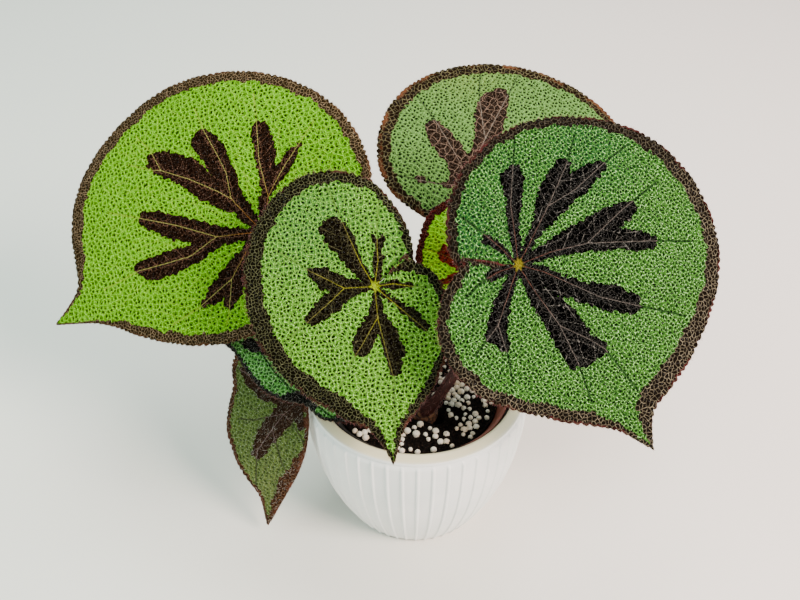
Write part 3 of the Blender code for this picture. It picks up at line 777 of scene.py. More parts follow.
stalk_hairs = haired("stalk_hairs", np.concatenate(hair_spots), np.concatenate(hair_ways),
                     ("pinkish hair", linear(134, 76, 70), linear(186, 138, 130)),
                     Hair_Length=1.7 * MM, Hair_Radius=0.045 * MM, Bend=0.45, Spread=0.55, Seed=2)
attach(stalk_hairs, "root")

# Leaf blades
# Thin juicy blades, puckered into a fine net: a pit in every cell, darkened with painted shade, and ridges
# between, paled partly with painted highlight.
# A cross of near-black fingers runs out along the veins, and a cobbled dark band follows the margin.
EDGE_STEP = 0.5
UPPER_STEP = 0.56
UNDER_STEP = 1.15
CRENULE_DEPTH = 1.3
CRENULE_PITCH = 3.2
TIP_HALF_ANGLE = 4.0
PILLOW = 1.0
EDGE_WAVE = 1.2
SINUS_SLIT = 2.0
LOBE_OVERLAP = 8.0
LOBE_LIFT = 1.3
RIM_BULGE = 0.2
SIDE_VEIN_SPACING = 8
SIDE_VEIN_ANGLE = 56.0
SIDE_VEIN_STRIDE = 4.0
SIDE_VEIN_STRIDES = 5
OUTLINE_SAMPLES = 14000
ROW_PITCH = 0.866
LOBE_SPAN = 40.0
EDGE_WAVES = 5.0
NET_DISORDER = 0.7
PIT_DEPTH = 0.28
RIDGE_HEIGHT = 0.16
COBBLE_HEIGHT = 0.30
VEIN_DEPTH = 0.26
UNDER_VEIN_SHARE = 1.6
FACE_HAIRS = 700

# Fingers of the cross: strokes through (angle, distance from the stalk, half width)
FINGERS = {
    "a": [
        [(0, 0, 2.5), (62, 7, 3.5), (65, 19, 4.6), (59, 22, 4.6), (55, 40, 6.8), (56, 52, 7.5),
         (52, 69, 6.6), (51, 75, 4.4)],
        [(65, 19, 4.6), (71, 33, 5.7), (73, 44, 6.6), (73, 53, 6.9), (72, 59, 5.9)],
        [(105, 8, 2), (111, 20, 3), (111, 29, 4.6), (108, 37, 5.4), (105, 45, 5.4), (104, 51, 4.2)],
        [(112, 18, 2.5), (118, 23, 3.3), (125, 31, 4), (128, 38, 3.5), (130, 44, 1.8)],
        [(0, 0, 2.5), (14, 14, 3.8), (16, 24, 4.9), (19, 30, 5.7), (23, 45, 6.1), (26, 57, 5.6),
         (27, 66, 3.8)],
        [(11, 24, 4.6), (4, 37, 5.4), (3, 50, 6.6), (4, 61, 6.7), (6, 68, 3.8)],
        [(0, 0, 2), (-29, 9, 2.5), (-35, 19, 4.3), (-34, 30, 5.3), (-32, 39, 4.1), (-30, 45, 1.8)],
        [(-35, 19, 3.5), (-46, 30, 4.8), (-46, 37, 3)],
    ],
    "b": [
        [(0, 0, 1.3), (143, 6, 2.6), (145, 14, 3.7), (148, 20, 5), (150, 27, 6.2), (150, 31, 5.4),
         (150, 33, 3.5)],
        [(148, 24, 4), (145, 33, 3)],
        [(-161, 1, 1.5), (-165, 5, 1.9), (-167, 11, 2.4), (-168, 17, 1.9), (-175, 22, 0.9)],
        [(-168, 16, 1.7), (-165, 22, 1.1)],
        [(-96, 1, 0.9), (-90, 9, 1.9), (-85, 15, 1.3)],
        [(-121, 8, 0.6), (-116, 12, 1.5), (-110, 16, 2), (-105, 19, 2), (-98, 23, 2)],
        [(-38, 1, 0.9), (-46, 12, 1.7), (-47, 20, 2.8), (-46, 27, 2.3)],
        [(80, 1, 1.5), (94, 7, 3), (93, 13, 4.3), (105, 22, 4.6), (108, 28, 2.6)],
        [(88, 11, 3.9), (76, 20, 5), (70, 27, 3.9), (68, 31, 2.6)],
        [(-8, 2, 1.3), (-2, 8, 3), (3, 13, 3.9), (14, 20, 4.7), (18, 26, 4.1), (20, 28, 2.1)],
        [(-2, 14, 3.4), (-10, 23, 4.7), (-11, 30, 4.5), (-7, 37, 2.6)],
    ],
    "c": [
        [(149, 1, 1.7), (147, 10, 2.1), (149, 16, 2.7), (147, 22, 3.2), (145, 27, 3.5), (145, 32, 4.6),
         (145, 36, 5), (143, 39, 3.2)],
        [(122, 2, 1.5), (114, 14, 2.3), (113, 24, 5), (113, 31, 7.2), (115, 40, 6.2), (116, 47, 3.6)],
        [(111, 33, 5.6), (105, 44, 5.4), (103, 52, 3.9), (101, 57, 2.2)],
        [(98, 2, 1.7), (79, 10, 2.9), (77, 20, 4.7), (76, 31, 6.4), (78, 43, 6.1), (79, 51, 4.4),
         (79, 55, 3.1)],
        [(73, 31, 5.6), (68, 44, 5.2), (64, 54, 4.4), (63, 59, 3.3)],
        [(28, 1, 1.7), (35, 10, 3.1), (28, 19, 4.2), (30, 30, 4.7), (34, 42, 6), (35, 51, 4.3)],
        [(-11, 1, 1.7), (-4, 10, 3.3), (-3, 19, 5.8), (0, 28, 7.1), (-1, 37, 8.4), (-1, 43, 7.6),
         (-8, 46, 2.5)],
        [(0, 41, 7.1), (7, 48, 3.8)],
        [(-63, 2, 1.5), (-63, 10, 2.5), (-62, 17, 3.5), (-59, 24, 4.1), (-56, 29, 4.5), (-61, 32, 2)],
        [(-55, 29, 4.1), (-48, 34, 2.5)],
        [(-167, 2, 1.2), (-172, 6, 1.2), (-169, 12, 1.7), (-167, 16, 2.4)],
        [(-101, 2, 1.6), (-105, 9, 2.6), (-103, 13, 1.9)],
        [(17, 6, 1.8), (20, 21, 2.4)],
    ],
    "d": [
        [(0, 0, 4.4), (73, 4, 6.7), (152, 9, 7.2), (145, 16, 6.2), (147, 24, 6.8), (149, 33, 6.8),
         (149, 40, 5)],
        [(36, 8, 4.4), (119, 12, 6.2), (105, 23, 5.4), (104, 33, 6.9), (105, 44, 8.6), (105, 53, 8.6),
         (103, 60, 5)],
        [(132, 5, 3.3), (-158, 13, 2), (-157, 18, 0.6), (-157, 24, 0.4), (-158, 27, 2.1), (-161, 29, 1.2)],
        [(13, 12, 4.4), (60, 28, 5.8), (69, 44, 5.4), (69, 49, 3)],
        [(17, 15, 4.4), (38, 36, 6), (41, 52, 6.4), (43, 62, 4.4)],
        [(0, 0, 3), (3, 20, 4.6), (2, 38, 6.2), (-2, 52, 4)],
        [(0, 0, 3), (-52, 16, 3.4), (-55, 30, 4.6), (-57, 36, 2.4)],
    ],
    "e": [
        [(68, 3, 2.4), (85, 10, 3.9), (89, 16, 3.6), (89, 20, 1.7)],
        [(92, 12, 2.4), (100, 19, 1.7)],
        [(0, 0, 2), (2, 10, 2.6), (0, 19, 2.2)],
        [(0, 0, 2), (44, 12, 2.8), (46, 20, 1.8)],
        [(0, 0, 2), (132, 12, 2.6), (134, 20, 1.6)],
        [(0, 0, 1.6), (-50, 10, 2), (-52, 15, 1.2)],
    ],
    "f": [
        [(0, 0, 3), (-82, 14, 3.3), (-66, 17, 2.6)],
        [(-82, 14, 2.6), (-104, 18, 1.8)],
        [(-133, 26, 2.5), (-137, 32, 2.8)],
        [(3, 25, 2), (6, 30, 3), (4, 36, 3)],
        [(0, 0, 3), (45, 16, 3.2), (46, 27, 2)],
        [(0, 0, 3), (92, 15, 3), (90, 26, 1.8)],
        [(0, 0, 2.4), (140, 14, 2.6), (142, 22, 1.6)],
    ],
    "g": [
        [(0, 0, 2.6), (-21, 8, 2.7), (2, 10, 4.3), (16, 18, 5.5), (17, 30, 5.6), (18, 41, 5.1),
         (16, 49, 3.5)],
        [(0, 0, 2.2), (25, 14, 2.7), (58, 21, 4.5), (70, 28, 4), (79, 33, 2)],
        [(-6, 12, 3.2), (-14, 20, 2.2)],
    ],
}

# Veins: lines through (angle, distance from the stalk)
VEIN_LINES = {
    "a": [
        [(0, 0), (62, 7), (63, 24), (59, 32), (53, 50), (49, 67), (47, 73), (45, 88)],
        [(49, 67), (53, 80), (54, 94)],
        [(63, 24), (74, 36), (75, 48), (75, 62), (76, 78)],
        [(0, 0), (116, 17), (103, 35), (102, 56), (101, 70)],
        [(116, 17), (126, 33), (130, 45), (132, 58)],
        [(0, 0), (15, 24), (25, 47), (27, 68), (28, 90)],
        [(15, 24), (3, 39), (4, 54), (5, 69), (3, 92)],
        [(0, 0), (-30, 11), (-37, 27), (-29, 48), (-24, 64)],
        [(-37, 27), (-48, 40), (-50, 47)],
        [(0, 0), (160, 20), (162, 46)],
        [(0, 0), (-88, 12), (-90, 30)],
    ],
    "b": [
        [(0, 0), (155, 12), (159, 32), (160, 48)],
        [(0, 0), (-167, 11), (-172, 22), (-172, 38)],
        [(0, 0), (93, 13), (110, 30), (116, 46)],
        [(93, 13), (75, 22), (68, 33), (64, 47)],
        [(0, 0), (0, 14), (-4, 25), (-6, 40), (-2, 62)],
        [(-1, 13), (18, 26), (21, 30), (25, 46)],
        [(0, 0), (-92, 8), (-85, 15), (-83, 23)],
        [(0, 0), (-44, 17), (-44, 29), (-42, 37)],
        [(0, 0), (-132, 7), (-118, 14)],
    ],
    "c": [
        [(0, 0), (147, 10), (148, 25), (144, 39), (142, 54)],
        [(0, 0), (113, 10), (114, 28), (115, 48), (117, 62)],
        [(114, 28), (104, 41), (101, 59), (99, 72)],
        [(0, 0), (74, 15), (70, 31), (80, 51), (83, 72)],
        [(70, 31), (63, 61), (61, 78)],
        [(0, 0), (38, 11), (32, 37), (35, 55), (37, 76)],
        [(0, 0), (-6, 11), (-3, 30), (-6, 48), (-9, 64)],
        [(-3, 30), (7, 43), (9, 50), (7, 72)],
        [(0, 0), (-57, 11), (-57, 26), (-61, 33), (-64, 41)],
        [(-57, 26), (-46, 36), (-41, 48)],
        [(0, 0), (-172, 10), (-170, 17), (-168, 30)],
        [(0, 0), (-106, 8), (-100, 18), (-95, 26)],
    ],
    "d": [
        [(0, 0), (142, 12), (144, 30), (145, 43), (147, 62)],
        [(0, 0), (108, 23), (101, 47), (99, 64), (98, 80)],
        [(105, 31), (111, 44), (114, 58), (114, 76)],
        [(0, 0), (153, 2), (-156, 17), (-158, 28), (-160, 44)],
        [(0, 0), (60, 20), (68, 46), (70, 78)],
        [(0, 0), (36, 24), (40, 52), (42, 80)],
        [(0, 0), (2, 26), (1, 54), (0, 84)],
        [(0, 0), (-54, 20), (-55, 44)],
    ],
    "e": [[(0, 0), (turn, 12), (turn + bend, 22), (turn, 30)] for turn, bend in
          ((2, 0), (45, 3), (88, 2), (131, 2), (175, -2), (-50, -2))],
    "f": [
        [(0, 0), (-82, 14), (-53, 15), (-23, 19), (1, 28), (4, 42)],
        [(0, 0), (-101, 15), (-125, 23), (-135, 28)],
        [(0, 0), (45, 16), (46, 36)],
        [(0, 0), (92, 15), (90, 34)],
        [(0, 0), (140, 14), (142, 30)],
    ],
    "g": [
        [(0, 0), (-21, 8), (2, 10), (16, 18), (17, 30), (17, 48), (8, 72), (0, 88)],
        [(0, 0), (30, 14), (57, 20), (74, 27), (80, 36)],
        [(16, 18), (34, 36), (40, 44)],
        [(16, 18), (-14, 26), (-18, 33)],
        [(17, 30), (0, 46), (-6, 52)],
    ],
}

# Dark band at the margin: its width in millimetres at angles round the blade
BANDS = {
    "a": ((-128, 4), (-60, 5), (-15, 5), (-4, 1), (0, 0.8), (4, 1.4), (12, 6), (25, 7.6), (50, 7.4),
        (75, 5.4), (130, 4.8), (232, 4.4)),
    "b": ((-125, 3.6), (-90, 3.4), (-60, 2.8), (-25, 3.6), (-6, 2.6), (0, 1), (6, 3.2), (20, 7),
        (100, 7.8), (140, 6.6), (165, 4.6), (190, 3), (235, 2)),
    "c": ((-128, 3), (-60, 4.6), (-12, 5.2), (-3, 1.6), (0, 1.2), (4, 5), (8, 9), (32, 7.6), (50, 6.6),
        (85, 6), (110, 4.2), (140, 3.2), (180, 3.8), (232, 3.2)),
    "d": ((-114, 5.4), (-10, 4.8), (0, 1.4), (10, 5), (80, 5), (120, 6.4), (150, 7), (195, 6.2),
        (246, 3.6)),
    "e": ((-120, 2.8), (-8, 2.8), (0, 1.2), (8, 2.8), (100, 3.4), (240, 3)),
    "f": ((-170, 1.4), (-10, 2), (0, 1.5), (10, 2), (190, 1.4)),
    "g": ((-155, 2), (-60, 2), (-34, 1.4), (-17, 1.4), (-13, 4.5), (-8, 6.5), (-3, 5), (0, 1.2), (6, 2),
        (30, 2.4), (90, 2.6), (205, 2)),
}

# How each blade looks: the values of blades a to g in turn, with sizes in millimetres
LOOK_ROWS = {
    # Sizes of the cells of the net, the web of fine veins and the cobbles, the pits, the dark edge along
    # the slit, and the coloured rim
    "cell": (2.5, 2.05, 1.7, 2.15, 2.1, 1.9, 2.4),
    "web_cell": (3.0, 2.6, 3.0, 4.0, 2.6, 2.6, 3.0),
    "cobble": (1.6, 1.5, 1.7, 2.3, 1.6, 1.6, 1.9),
    "pits": (0.12, 0.15, 0.14, 0.18, 0.12, 0.14, 0.12),
    "slit": (2.2, 0.5, 2.2, 2.2, 2.2, 2.2, 2.2),
    "edge_reach": (0.9, 0.9, 0.9, 2.2, 0.9, 0.9, 1.6),
    # How strongly things show: in the mark its cells, web, dots of painted glint, fine net and ribs, on the
    # green its gloss of painted glints on the ridges, and the band's pale cobbles on the side away from the
    # tip, dimmed there as painted shade
    "mid": (0.01, 0.005, 0.0, 0.035, 0.7, 0.02, 0.03),
    "net": (0.12, 0.3, 0.2, 0.8, 0.3, 0.6, 0.35),
    "dots": (0.7, 0.4, 0.1, 0.3, 0.3, 0.4, 0.5),
    "fine": (0.06, 0.06, 0.0, 0.06, 0.15, 0.1, 0.15),
    "ribs": (0.6, 0.4, 0.16, 0.2, 0.2, 0.2, 0.5),
    "gloss": (0.4, 0.85, 0.95, 0.5, 0.2, 1.0, 0.6),
    "band_fade": (1.0, 1.0, 0.4, 1.0, 1.0, 1.0, 1.0),
    # The slot, and the colours of the green, its ridges (partly painted highlight), painted highlight
    # flecks, darker low tone (painted shade round pits), pits (painted shade) and vein lines
    "slot": ("leaf_green", "leaf_green", "leaf_dark", "leaf_green", "leaf_green", "leaf_dark",
        "leaf_dark"),
    "green": ((84, 142, 5), (76, 127, 32), (50, 92, 30), (86, 126, 61), (129, 210, 7), (68, 132, 48),
        (72, 93, 40)),
    "ridge": ((112, 186, 7), (113, 178, 44), (78, 134, 48), (111, 158, 77), (161, 240, 10), (122, 190, 94),
        (95, 118, 60)),
    "fleck": ((176, 238, 84), (176, 228, 120), (160, 214, 132), (142, 192, 104), (176, 226, 24),
        (180, 222, 160), (140, 156, 122)),
    "low": ((50, 98, 2), (36, 72, 12), (16, 46, 13), (60, 90, 42), (94, 158, 3), (30, 72, 22),
        (56, 72, 31)),
    "pit": ((8, 30, 1), (3, 14, 1), (3, 14, 3), (6, 14, 3), (34, 60, 1), (3, 16, 3), (41, 57, 24)),
    "line": ((126, 166, 36), (92, 132, 50), (28, 54, 24), (64, 84, 50), (134, 150, 20), (36, 66, 32),
        (60, 64, 44)),
    # The colours of the mark, its web, its veins, and the star at the stalk
    "mark": ((12, 5, 2), (7, 4, 2), (2, 2, 2), (14, 7, 3), (34, 8, 5), (5, 5, 4), (34, 20, 12)),
    "web": ((112, 80, 62), (88, 86, 58), (102, 100, 94), (130, 108, 92), (116, 38, 22), (78, 78, 72),
        (82, 68, 56)),
    "vein": ((150, 146, 78), (104, 100, 52), (92, 86, 80), (132, 120, 108), (110, 70, 30), (60, 58, 52),
        (124, 106, 104)),
    "root_vein": ((150, 92, 40), (128, 128, 34), (84, 56, 48), (120, 96, 84), (118, 84, 34), (52, 42, 36),
        (84, 62, 54)),
    "star": ((136, 156, 6), (136, 156, 6), (112, 104, 24), (120, 116, 40), (136, 156, 6), (136, 156, 6),
        (136, 156, 6)),
    # The colours of the band, its cobbles and its rim
    "band": ((32, 24, 10), (9, 8, 3), (14, 11, 7), (20, 13, 6), (44, 12, 9), (10, 10, 9), (44, 26, 16)),
    "band_web": ((156, 134, 102), (104, 106, 74), (132, 122, 100), (122, 115, 82), (120, 58, 46),
        (96, 96, 88), (126, 96, 72)),
    "edge": ((88, 58, 40), (84, 48, 42), (92, 42, 42), (124, 76, 50), (104, 32, 34), (50, 44, 40),
        (96, 58, 44)),
    # Patches in the green: their colour, and the angle, distance, size and strength of each. Blade a's
    # first patch is a painted shadow of blade b, and blade c's patches are painted shade on its big lobe.
    "patch": ((62, 116, 4), (66, 112, 54), (24, 76, 38), (112, 130, 58), (108, 90, 8), (50, 100, 66),
        (96, 106, 60)),
    "patches": (((180, 40, 36, 0.9), (-60, 40, 24, 0.4)), ((140, 40, 26, 0.8), (-150, 25, 20, 0.5)),
        ((200, 28, 26, 0.8), (150, 40, 22, 0.5), (112, 60, 24, 0.7)), ((120, 78, 24, 0.6),),
        ((90, 24, 10, 0.5),), ((60, 26, 14, 0.6),), ((0, 70, 26, 0.7),)),
}
LOOKS = {letter: {key: values[count] for key, values in LOOK_ROWS.items()}
         for count, letter in enumerate(LEAVES)}
COLOUR_KEYS = ("green", "ridge", "fleck", "low", "pit", "line", "patch", "mark", "web", "vein", "root_vein",
               "star", "band", "band_web", "edge")


def margin_reach(leaf, angle):
    """Distance from the stalk to the margin, on a smooth closed curve with a drip tip."""
    margin = np.array(leaf["margin"], float)
    place = (angle % 360.0) / (360.0 / len(margin))
    start = place.astype(int)
    part = place - start
    before, here, after, beyond = (margin[(start + shift) % len(margin)] for shift in (-1, 0, 1, 2))
    curve = 3 * (here - after) + beyond - before
    curve = 2 * before - 5 * here + 4 * after - beyond + part * curve
    reach = here + 0.5 * part * (after - before + part * curve)
    off_tip = np.abs((angle + 180.0) % 360.0 - 180.0)
    return reach + leaf["drip_tip"] * np.exp(-(off_tip / TIP_HALF_ANGLE) ** 1.2)


def spread(angle, radius):
    """Flat places from angles in degrees and distances."""
    turn = np.radians(angle)
    return np.stack([radius * np.cos(turn), radius * np.sin(turn)], -1)


def turn_of(leaf, flat):
    """Angle and distance of flat places, the angle counted from one slit edge to the other."""
    angle = np.degrees(np.arctan2(flat[:, 1], flat[:, 0]))
    return np.where(angle < leaf["sinus"] - 360.0, angle + 360.0, angle), np.hypot(flat[:, 0], flat[:, 1])


def blade_surface(leaf, angle, radius, sunk=0.0):
    """Places of the blade's upper face, or sunk below it, in millimetres."""
    joint, tip, left, face = leaf_frame(leaf)
    low_edge, high_edge = leaf["sinus"] - 360.0, leaf["sinus"]
    share = np.minimum(radius / margin_reach(leaf, angle), 1.02)
    stops = np.array(sorted([low_edge + SINUS_SLIT, high_edge - SINUS_SLIT, *leaf["veins"]]))
    gap = np.clip(np.searchsorted(stops, angle) - 1, 0, len(stops) - 2)
    between = np.clip((angle - stops[gap]) / (stops[gap + 1] - stops[gap]), 0.0, 1.0)
    at_small = 1.0 - smooth((angle - low_edge) / LOBE_SPAN)
    at_big = 1.0 - smooth((high_edge - angle) / LOBE_SPAN)
    over = smooth((radius - 5.0) / 6.0)
    turn = np.radians(angle + LOBE_OVERLAP * over * (at_big - at_small)) * leaf["hand"]
    along, across = radius * np.cos(turn), radius * np.sin(turn)
    height = -(leaf["droop"] * along ** 2 + leaf["roll"] * across ** 2) / 10000.0 - sunk
    height += LOBE_LIFT * smooth((radius - 2.0) / 6.0) * (at_small - at_big)
    height += PILLOW * smooth((radius - 4.0) / 20.0) * np.sin(np.pi * between) * (1.0 - 0.6 * share ** 3)
    height += EDGE_WAVE * share ** 4 * np.sin(np.radians(angle * EDGE_WAVES))
    return joint + np.outer(along, tip) + np.outer(across, left) + np.outer(height, face)


def even_steps(points, step):
    """Points at even steps along a line of points."""
    run = np.concatenate([[0.0], np.cumsum(np.linalg.norm(np.diff(points, axis=0), axis=1))])
    marks = np.linspace(0.0, run[-1], max(2, round(run[-1] / step)) + 1)
    return np.stack([np.interp(marks, run, points[:, axis]) for axis in (0, 1)], 1)


def blade_outline(leaf):
    """The blade's edge laid flat: out along the slit, round the margin and back; and what is margin."""
    low, high = leaf["sinus"] - 360.0 + SINUS_SLIT, leaf["sinus"] - SINUS_SLIT
    angle = np.linspace(low, high, OUTLINE_SAMPLES)
    margin = even_steps(spread(angle, margin_reach(leaf, angle)), EDGE_STEP)
    run = np.arange(len(margin)) * EDGE_STEP
    dip = 1.0 - np.abs(np.sin(math.pi * run / CRENULE_PITCH + 0.8 * np.sin(run * 0.21)))
    reach = np.hypot(margin[:, 0], margin[:, 1])
    dip *= smooth((reach - 6.0) / 4.0) * (0.65 + 0.35 * np.sin(run * 0.37))
    margin *= (1.0 - CRENULE_DEPTH * dip / reach)[:, None]
    out = np.arange(EDGE_STEP, np.hypot(*margin[0]) - 0.6 * EDGE_STEP, EDGE_STEP)
    back = np.arange(EDGE_STEP, np.hypot(*margin[-1]) - 0.6 * EDGE_STEP, EDGE_STEP)[::-1]
    outline = np.concatenate([[(0.0, 0.0)], spread(low, out), margin, spread(high, back)])
    is_margin = np.zeros(len(outline), bool)
    is_margin[1 + len(out):1 + len(out) + len(margin)] = True
    return outline, is_margin


def spread_sheet(leaf, outline, step):
    """Flat points and triangles of a blade inside its outline, about a step apart."""
    low, high = outline.min(0), outline.max(0)
    rows = np.arange(low[1], high[1], step * ROW_PITCH)
    columns = np.arange(low[0], high[0], step)
    x, y = np.meshgrid(columns, rows)
    x = x + (np.arange(len(rows)) % 2)[:, None] * step / 2.0
    grid = np.stack([x.ravel(), y.ravel()], 1)
    angle, radius = turn_of(leaf, grid)
    off_slit = np.minimum(angle - leaf["sinus"] + 360.0, leaf["sinus"] - angle) - SINUS_SLIT
    clear = (off_slit > 60.0) | (radius * np.sin(np.radians(np.clip(off_slit, -60.0, 60.0))) > 0.45 * step)
    inside = radius < margin_reach(leaf, angle) - 0.5 * step - CRENULE_DEPTH
    grid = grid[clear & inside & (radius > 0.5 * step)]
    points = np.concatenate([outline, grid])
    edges = [(corner, (corner + 1) % len(outline)) for corner in range(len(outline))]
    found = delaunay_2d_cdt([Vector(point) for point in points], edges, [], 1, 1e-7)
    corners = np.array([face for face in found[2] if len(face) == 3])
    if len(found[0]) != len(points):
        raise ValueError("two points of a blade fell together")
    one, two = (points[corners[:, corner]] - points[corners[:, 0]] for corner in (1, 2))
    clockwise = one[:, 0] * two[:, 1] - one[:, 1] * two[:, 0] < 0.0
    corners[clockwise] = corners[clockwise][:, ::-1]
    return points, corners


def knots(stroke):
    """Flat places of a stroke's or a vein's points."""
    angle, radius = np.array([knot[:2] for knot in stroke], float).T
    return spread(angle, radius)


def off_strokes(flat, strokes):
    """Distance from the nearest stroke's edge, less than 0 inside, and the way it grows."""
    nearest = np.full(len(flat), 1e3)
    way = np.zeros((len(flat), 2))
    for stroke in strokes:
        spots = knots(stroke)
        widths = [knot[2] if len(knot) > 2 else 0.0 for knot in stroke]
        for start, end, wide_start, wide_end in zip(spots, spots[1:], widths, widths[1:]):
            line = end - start
            part = np.clip((flat - start) @ line / max(line @ line, 1e-9), 0.0, 1.0)[:, None]
            gap = flat - start - part * line
            length = np.linalg.norm(gap, axis=1)
            off = length - (wide_start + (wide_end - wide_start) * part[:, 0])
            closer = off < nearest
            nearest[closer] = off[closer]
            way[closer] = gap[closer] / np.maximum(length[closer], 1e-6)[:, None]
    return nearest, way


def side_veins(leaf, lines):
    """Side veins by rule: they leave each vein on both sides in turn and bow towards the margin."""
    found = []
    for line in lines:
        steps = even_steps(knots(line), 1.0)
        for count, at in enumerate(range(SIDE_VEIN_SPACING, len(steps) - 3, SIDE_VEIN_SPACING // 2)):
            ahead = unit(steps[min(at + 3, len(steps) - 1)] - steps[at - 2])
            turn = math.radians(SIDE_VEIN_ANGLE) * (1 if count % 2 else -1)
            spot = steps[at]
            path = [spot]
            for stride in range(SIDE_VEIN_STRIDES):
                bow = turn * (1.0 - 0.14 * stride)
                way = np.array((ahead[0] * math.cos(bow) - ahead[1] * math.sin(bow),
                                ahead[0] * math.sin(bow) + ahead[1] * math.cos(bow)))
                spot = spot + way * SIDE_VEIN_STRIDE
                angle, radius = turn_of(leaf, spot[None])
                if radius[0] > margin_reach(leaf, angle)[0] - 4.0:
                    break
                path.append(spot)
            if len(path) > 2:
                turns = [math.degrees(math.atan2(place[1], place[0])) for place in path]
                found.append([(angle, float(np.hypot(*place))) for angle, place in zip(turns, path)])
    return found


def blade_attributes(leaf, letter, flat, outline, is_margin):
    """What the net, the marks and the veins are drawn from, at each flat place."""
    tree = KDTree(len(outline))
    for count, place in enumerate(outline):
        tree.insert((*place, 0.0), count)
    tree.balance()
    near = np.array([tree.find((*place, 0.0))[1] for place in flat])
    inward = flat - outline[near]
    gap = np.linalg.norm(inward, axis=1)
    edge_angle, edge_radius = turn_of(leaf, outline)
    width = np.interp(edge_angle, *zip(*BANDS[letter]))
    slit_width = LOOKS[letter]["slit"] * smooth((edge_radius - 4.0) / 7.0)
    width = np.where(is_margin, width, slit_width)
    band = gap - width[near]
    band_way = inward / np.maximum(gap, 1e-6)[:, None]
    mark, mark_way = off_strokes(flat, FINGERS[letter])
    vein, _ = off_strokes(flat, VEIN_LINES[letter])
    side_vein, _ = off_strokes(flat, side_veins(leaf, VEIN_LINES[letter]))
    x, y = flat[:, 0], flat[:, 1]
    warp = (np.sin(0.83 * y + 1.7 * np.sin(0.29 * x)), np.sin(0.79 * x + 1.9 * np.sin(0.33 * y)))
    # Patches darken or tint the green; on blade a the first is a painted shadow of blade b, and on blade c
    # they are painted shade on its big lobe.
    patch = np.zeros(len(flat))
    for angle, radius, size, amount in LOOKS[letter]["patches"]:
        off = np.linalg.norm(flat - spread(float(angle), float(radius)), axis=1)
        patch = np.maximum(patch, amount * np.exp(-(off / size) ** 2))

    def flat_vector(values):
        return np.concatenate([values, np.zeros((len(values), 1))], 1)

    return {
        "net_place": flat_vector(flat + 0.35 * np.stack(warp, 1)), "edge_gap": gap,
        "band": band, "band_way": flat_vector(band_way),
        "mark": mark, "mark_way": flat_vector(mark_way),
        "vein": vein, "side_vein": side_vein, "patch": patch,
    }


def cells(place, feature, size, randomness=1.0):
    """What a flat net of cells gives, on a place in millimetres."""
    scale = 1.0 / size if isinstance(size, float) else number("DIVIDE", 1.0, size)
    given = {"Vector": place, "Scale": scale, "Randomness": randomness}
    shape = {"voronoi_dimensions": "2D", "feature": feature}
    return add(place.id_data, "ShaderNodeTexVoronoi", given, **shape).outputs


def net_of(tree, cell, web_cell):
    """The place on a blade, the net's pits, and how far its ridges and the web of fine veins are."""
    place = read(tree, "net_place", vector=True)
    pits = cells(place, "F1", cell, NET_DISORDER)
    ridges, web = (cells(place, "DISTANCE_TO_EDGE", size, NET_DISORDER) for size in (cell, web_cell))
    return place, pits, ridges["Distance"], web["Distance"]


def skin_tree():
    """Puckers a blade: pits and ridges above, raised veins below, cobbles in the marginal band."""
    tree, given = start_tree("puckered skin", Cell_Size=2.5, Web_Size=3.0, Pit_Depth=0.0, Ridge_Height=0.0,
                             Cobble_Height=0.0, Vein_Depth=0.0)
    _, pits, ridge, web = net_of(tree, given["Cell Size"], given["Web Size"])
    upper = read(tree, "skin")
    dark = most(ramp(read(tree, "band"), 0.3, -0.3), ramp(read(tree, "mark"), 0.3, -0.3))
    green_height = less(times(ramp(ridge, 0.20, 0.0), given["Ridge Height"]),
                        times(ramp(pits["Distance"], 0.42, 0.05), given["Pit Depth"]))
    cobble = times(ramp(pits["Distance"], 0.55, 0.1), given["Cobble Height"])
    height = plus(times(green_height, less(1.0, dark)), times(cobble, dark))
    vein = most(ramp(read(tree, "vein"), 1.1, 0.2), times(ramp(read(tree, "side_vein"), 0.8, 0.15), 0.5))
    groove = times(most(vein, times(ramp(web, 0.05, 0.0), 0.35)), given["Vein Depth"])
    above = times(less(height, groove), upper)
    below = times(groove, less(UNDER_VEIN_SHARE, times(upper, UNDER_VEIN_SHARE)))
    rise = times(plus(above, below), ramp(read(tree, "edge_gap"), 0.0, 1.2))
    return end_tree(tree, given, moved(given["Geometry"], rise))


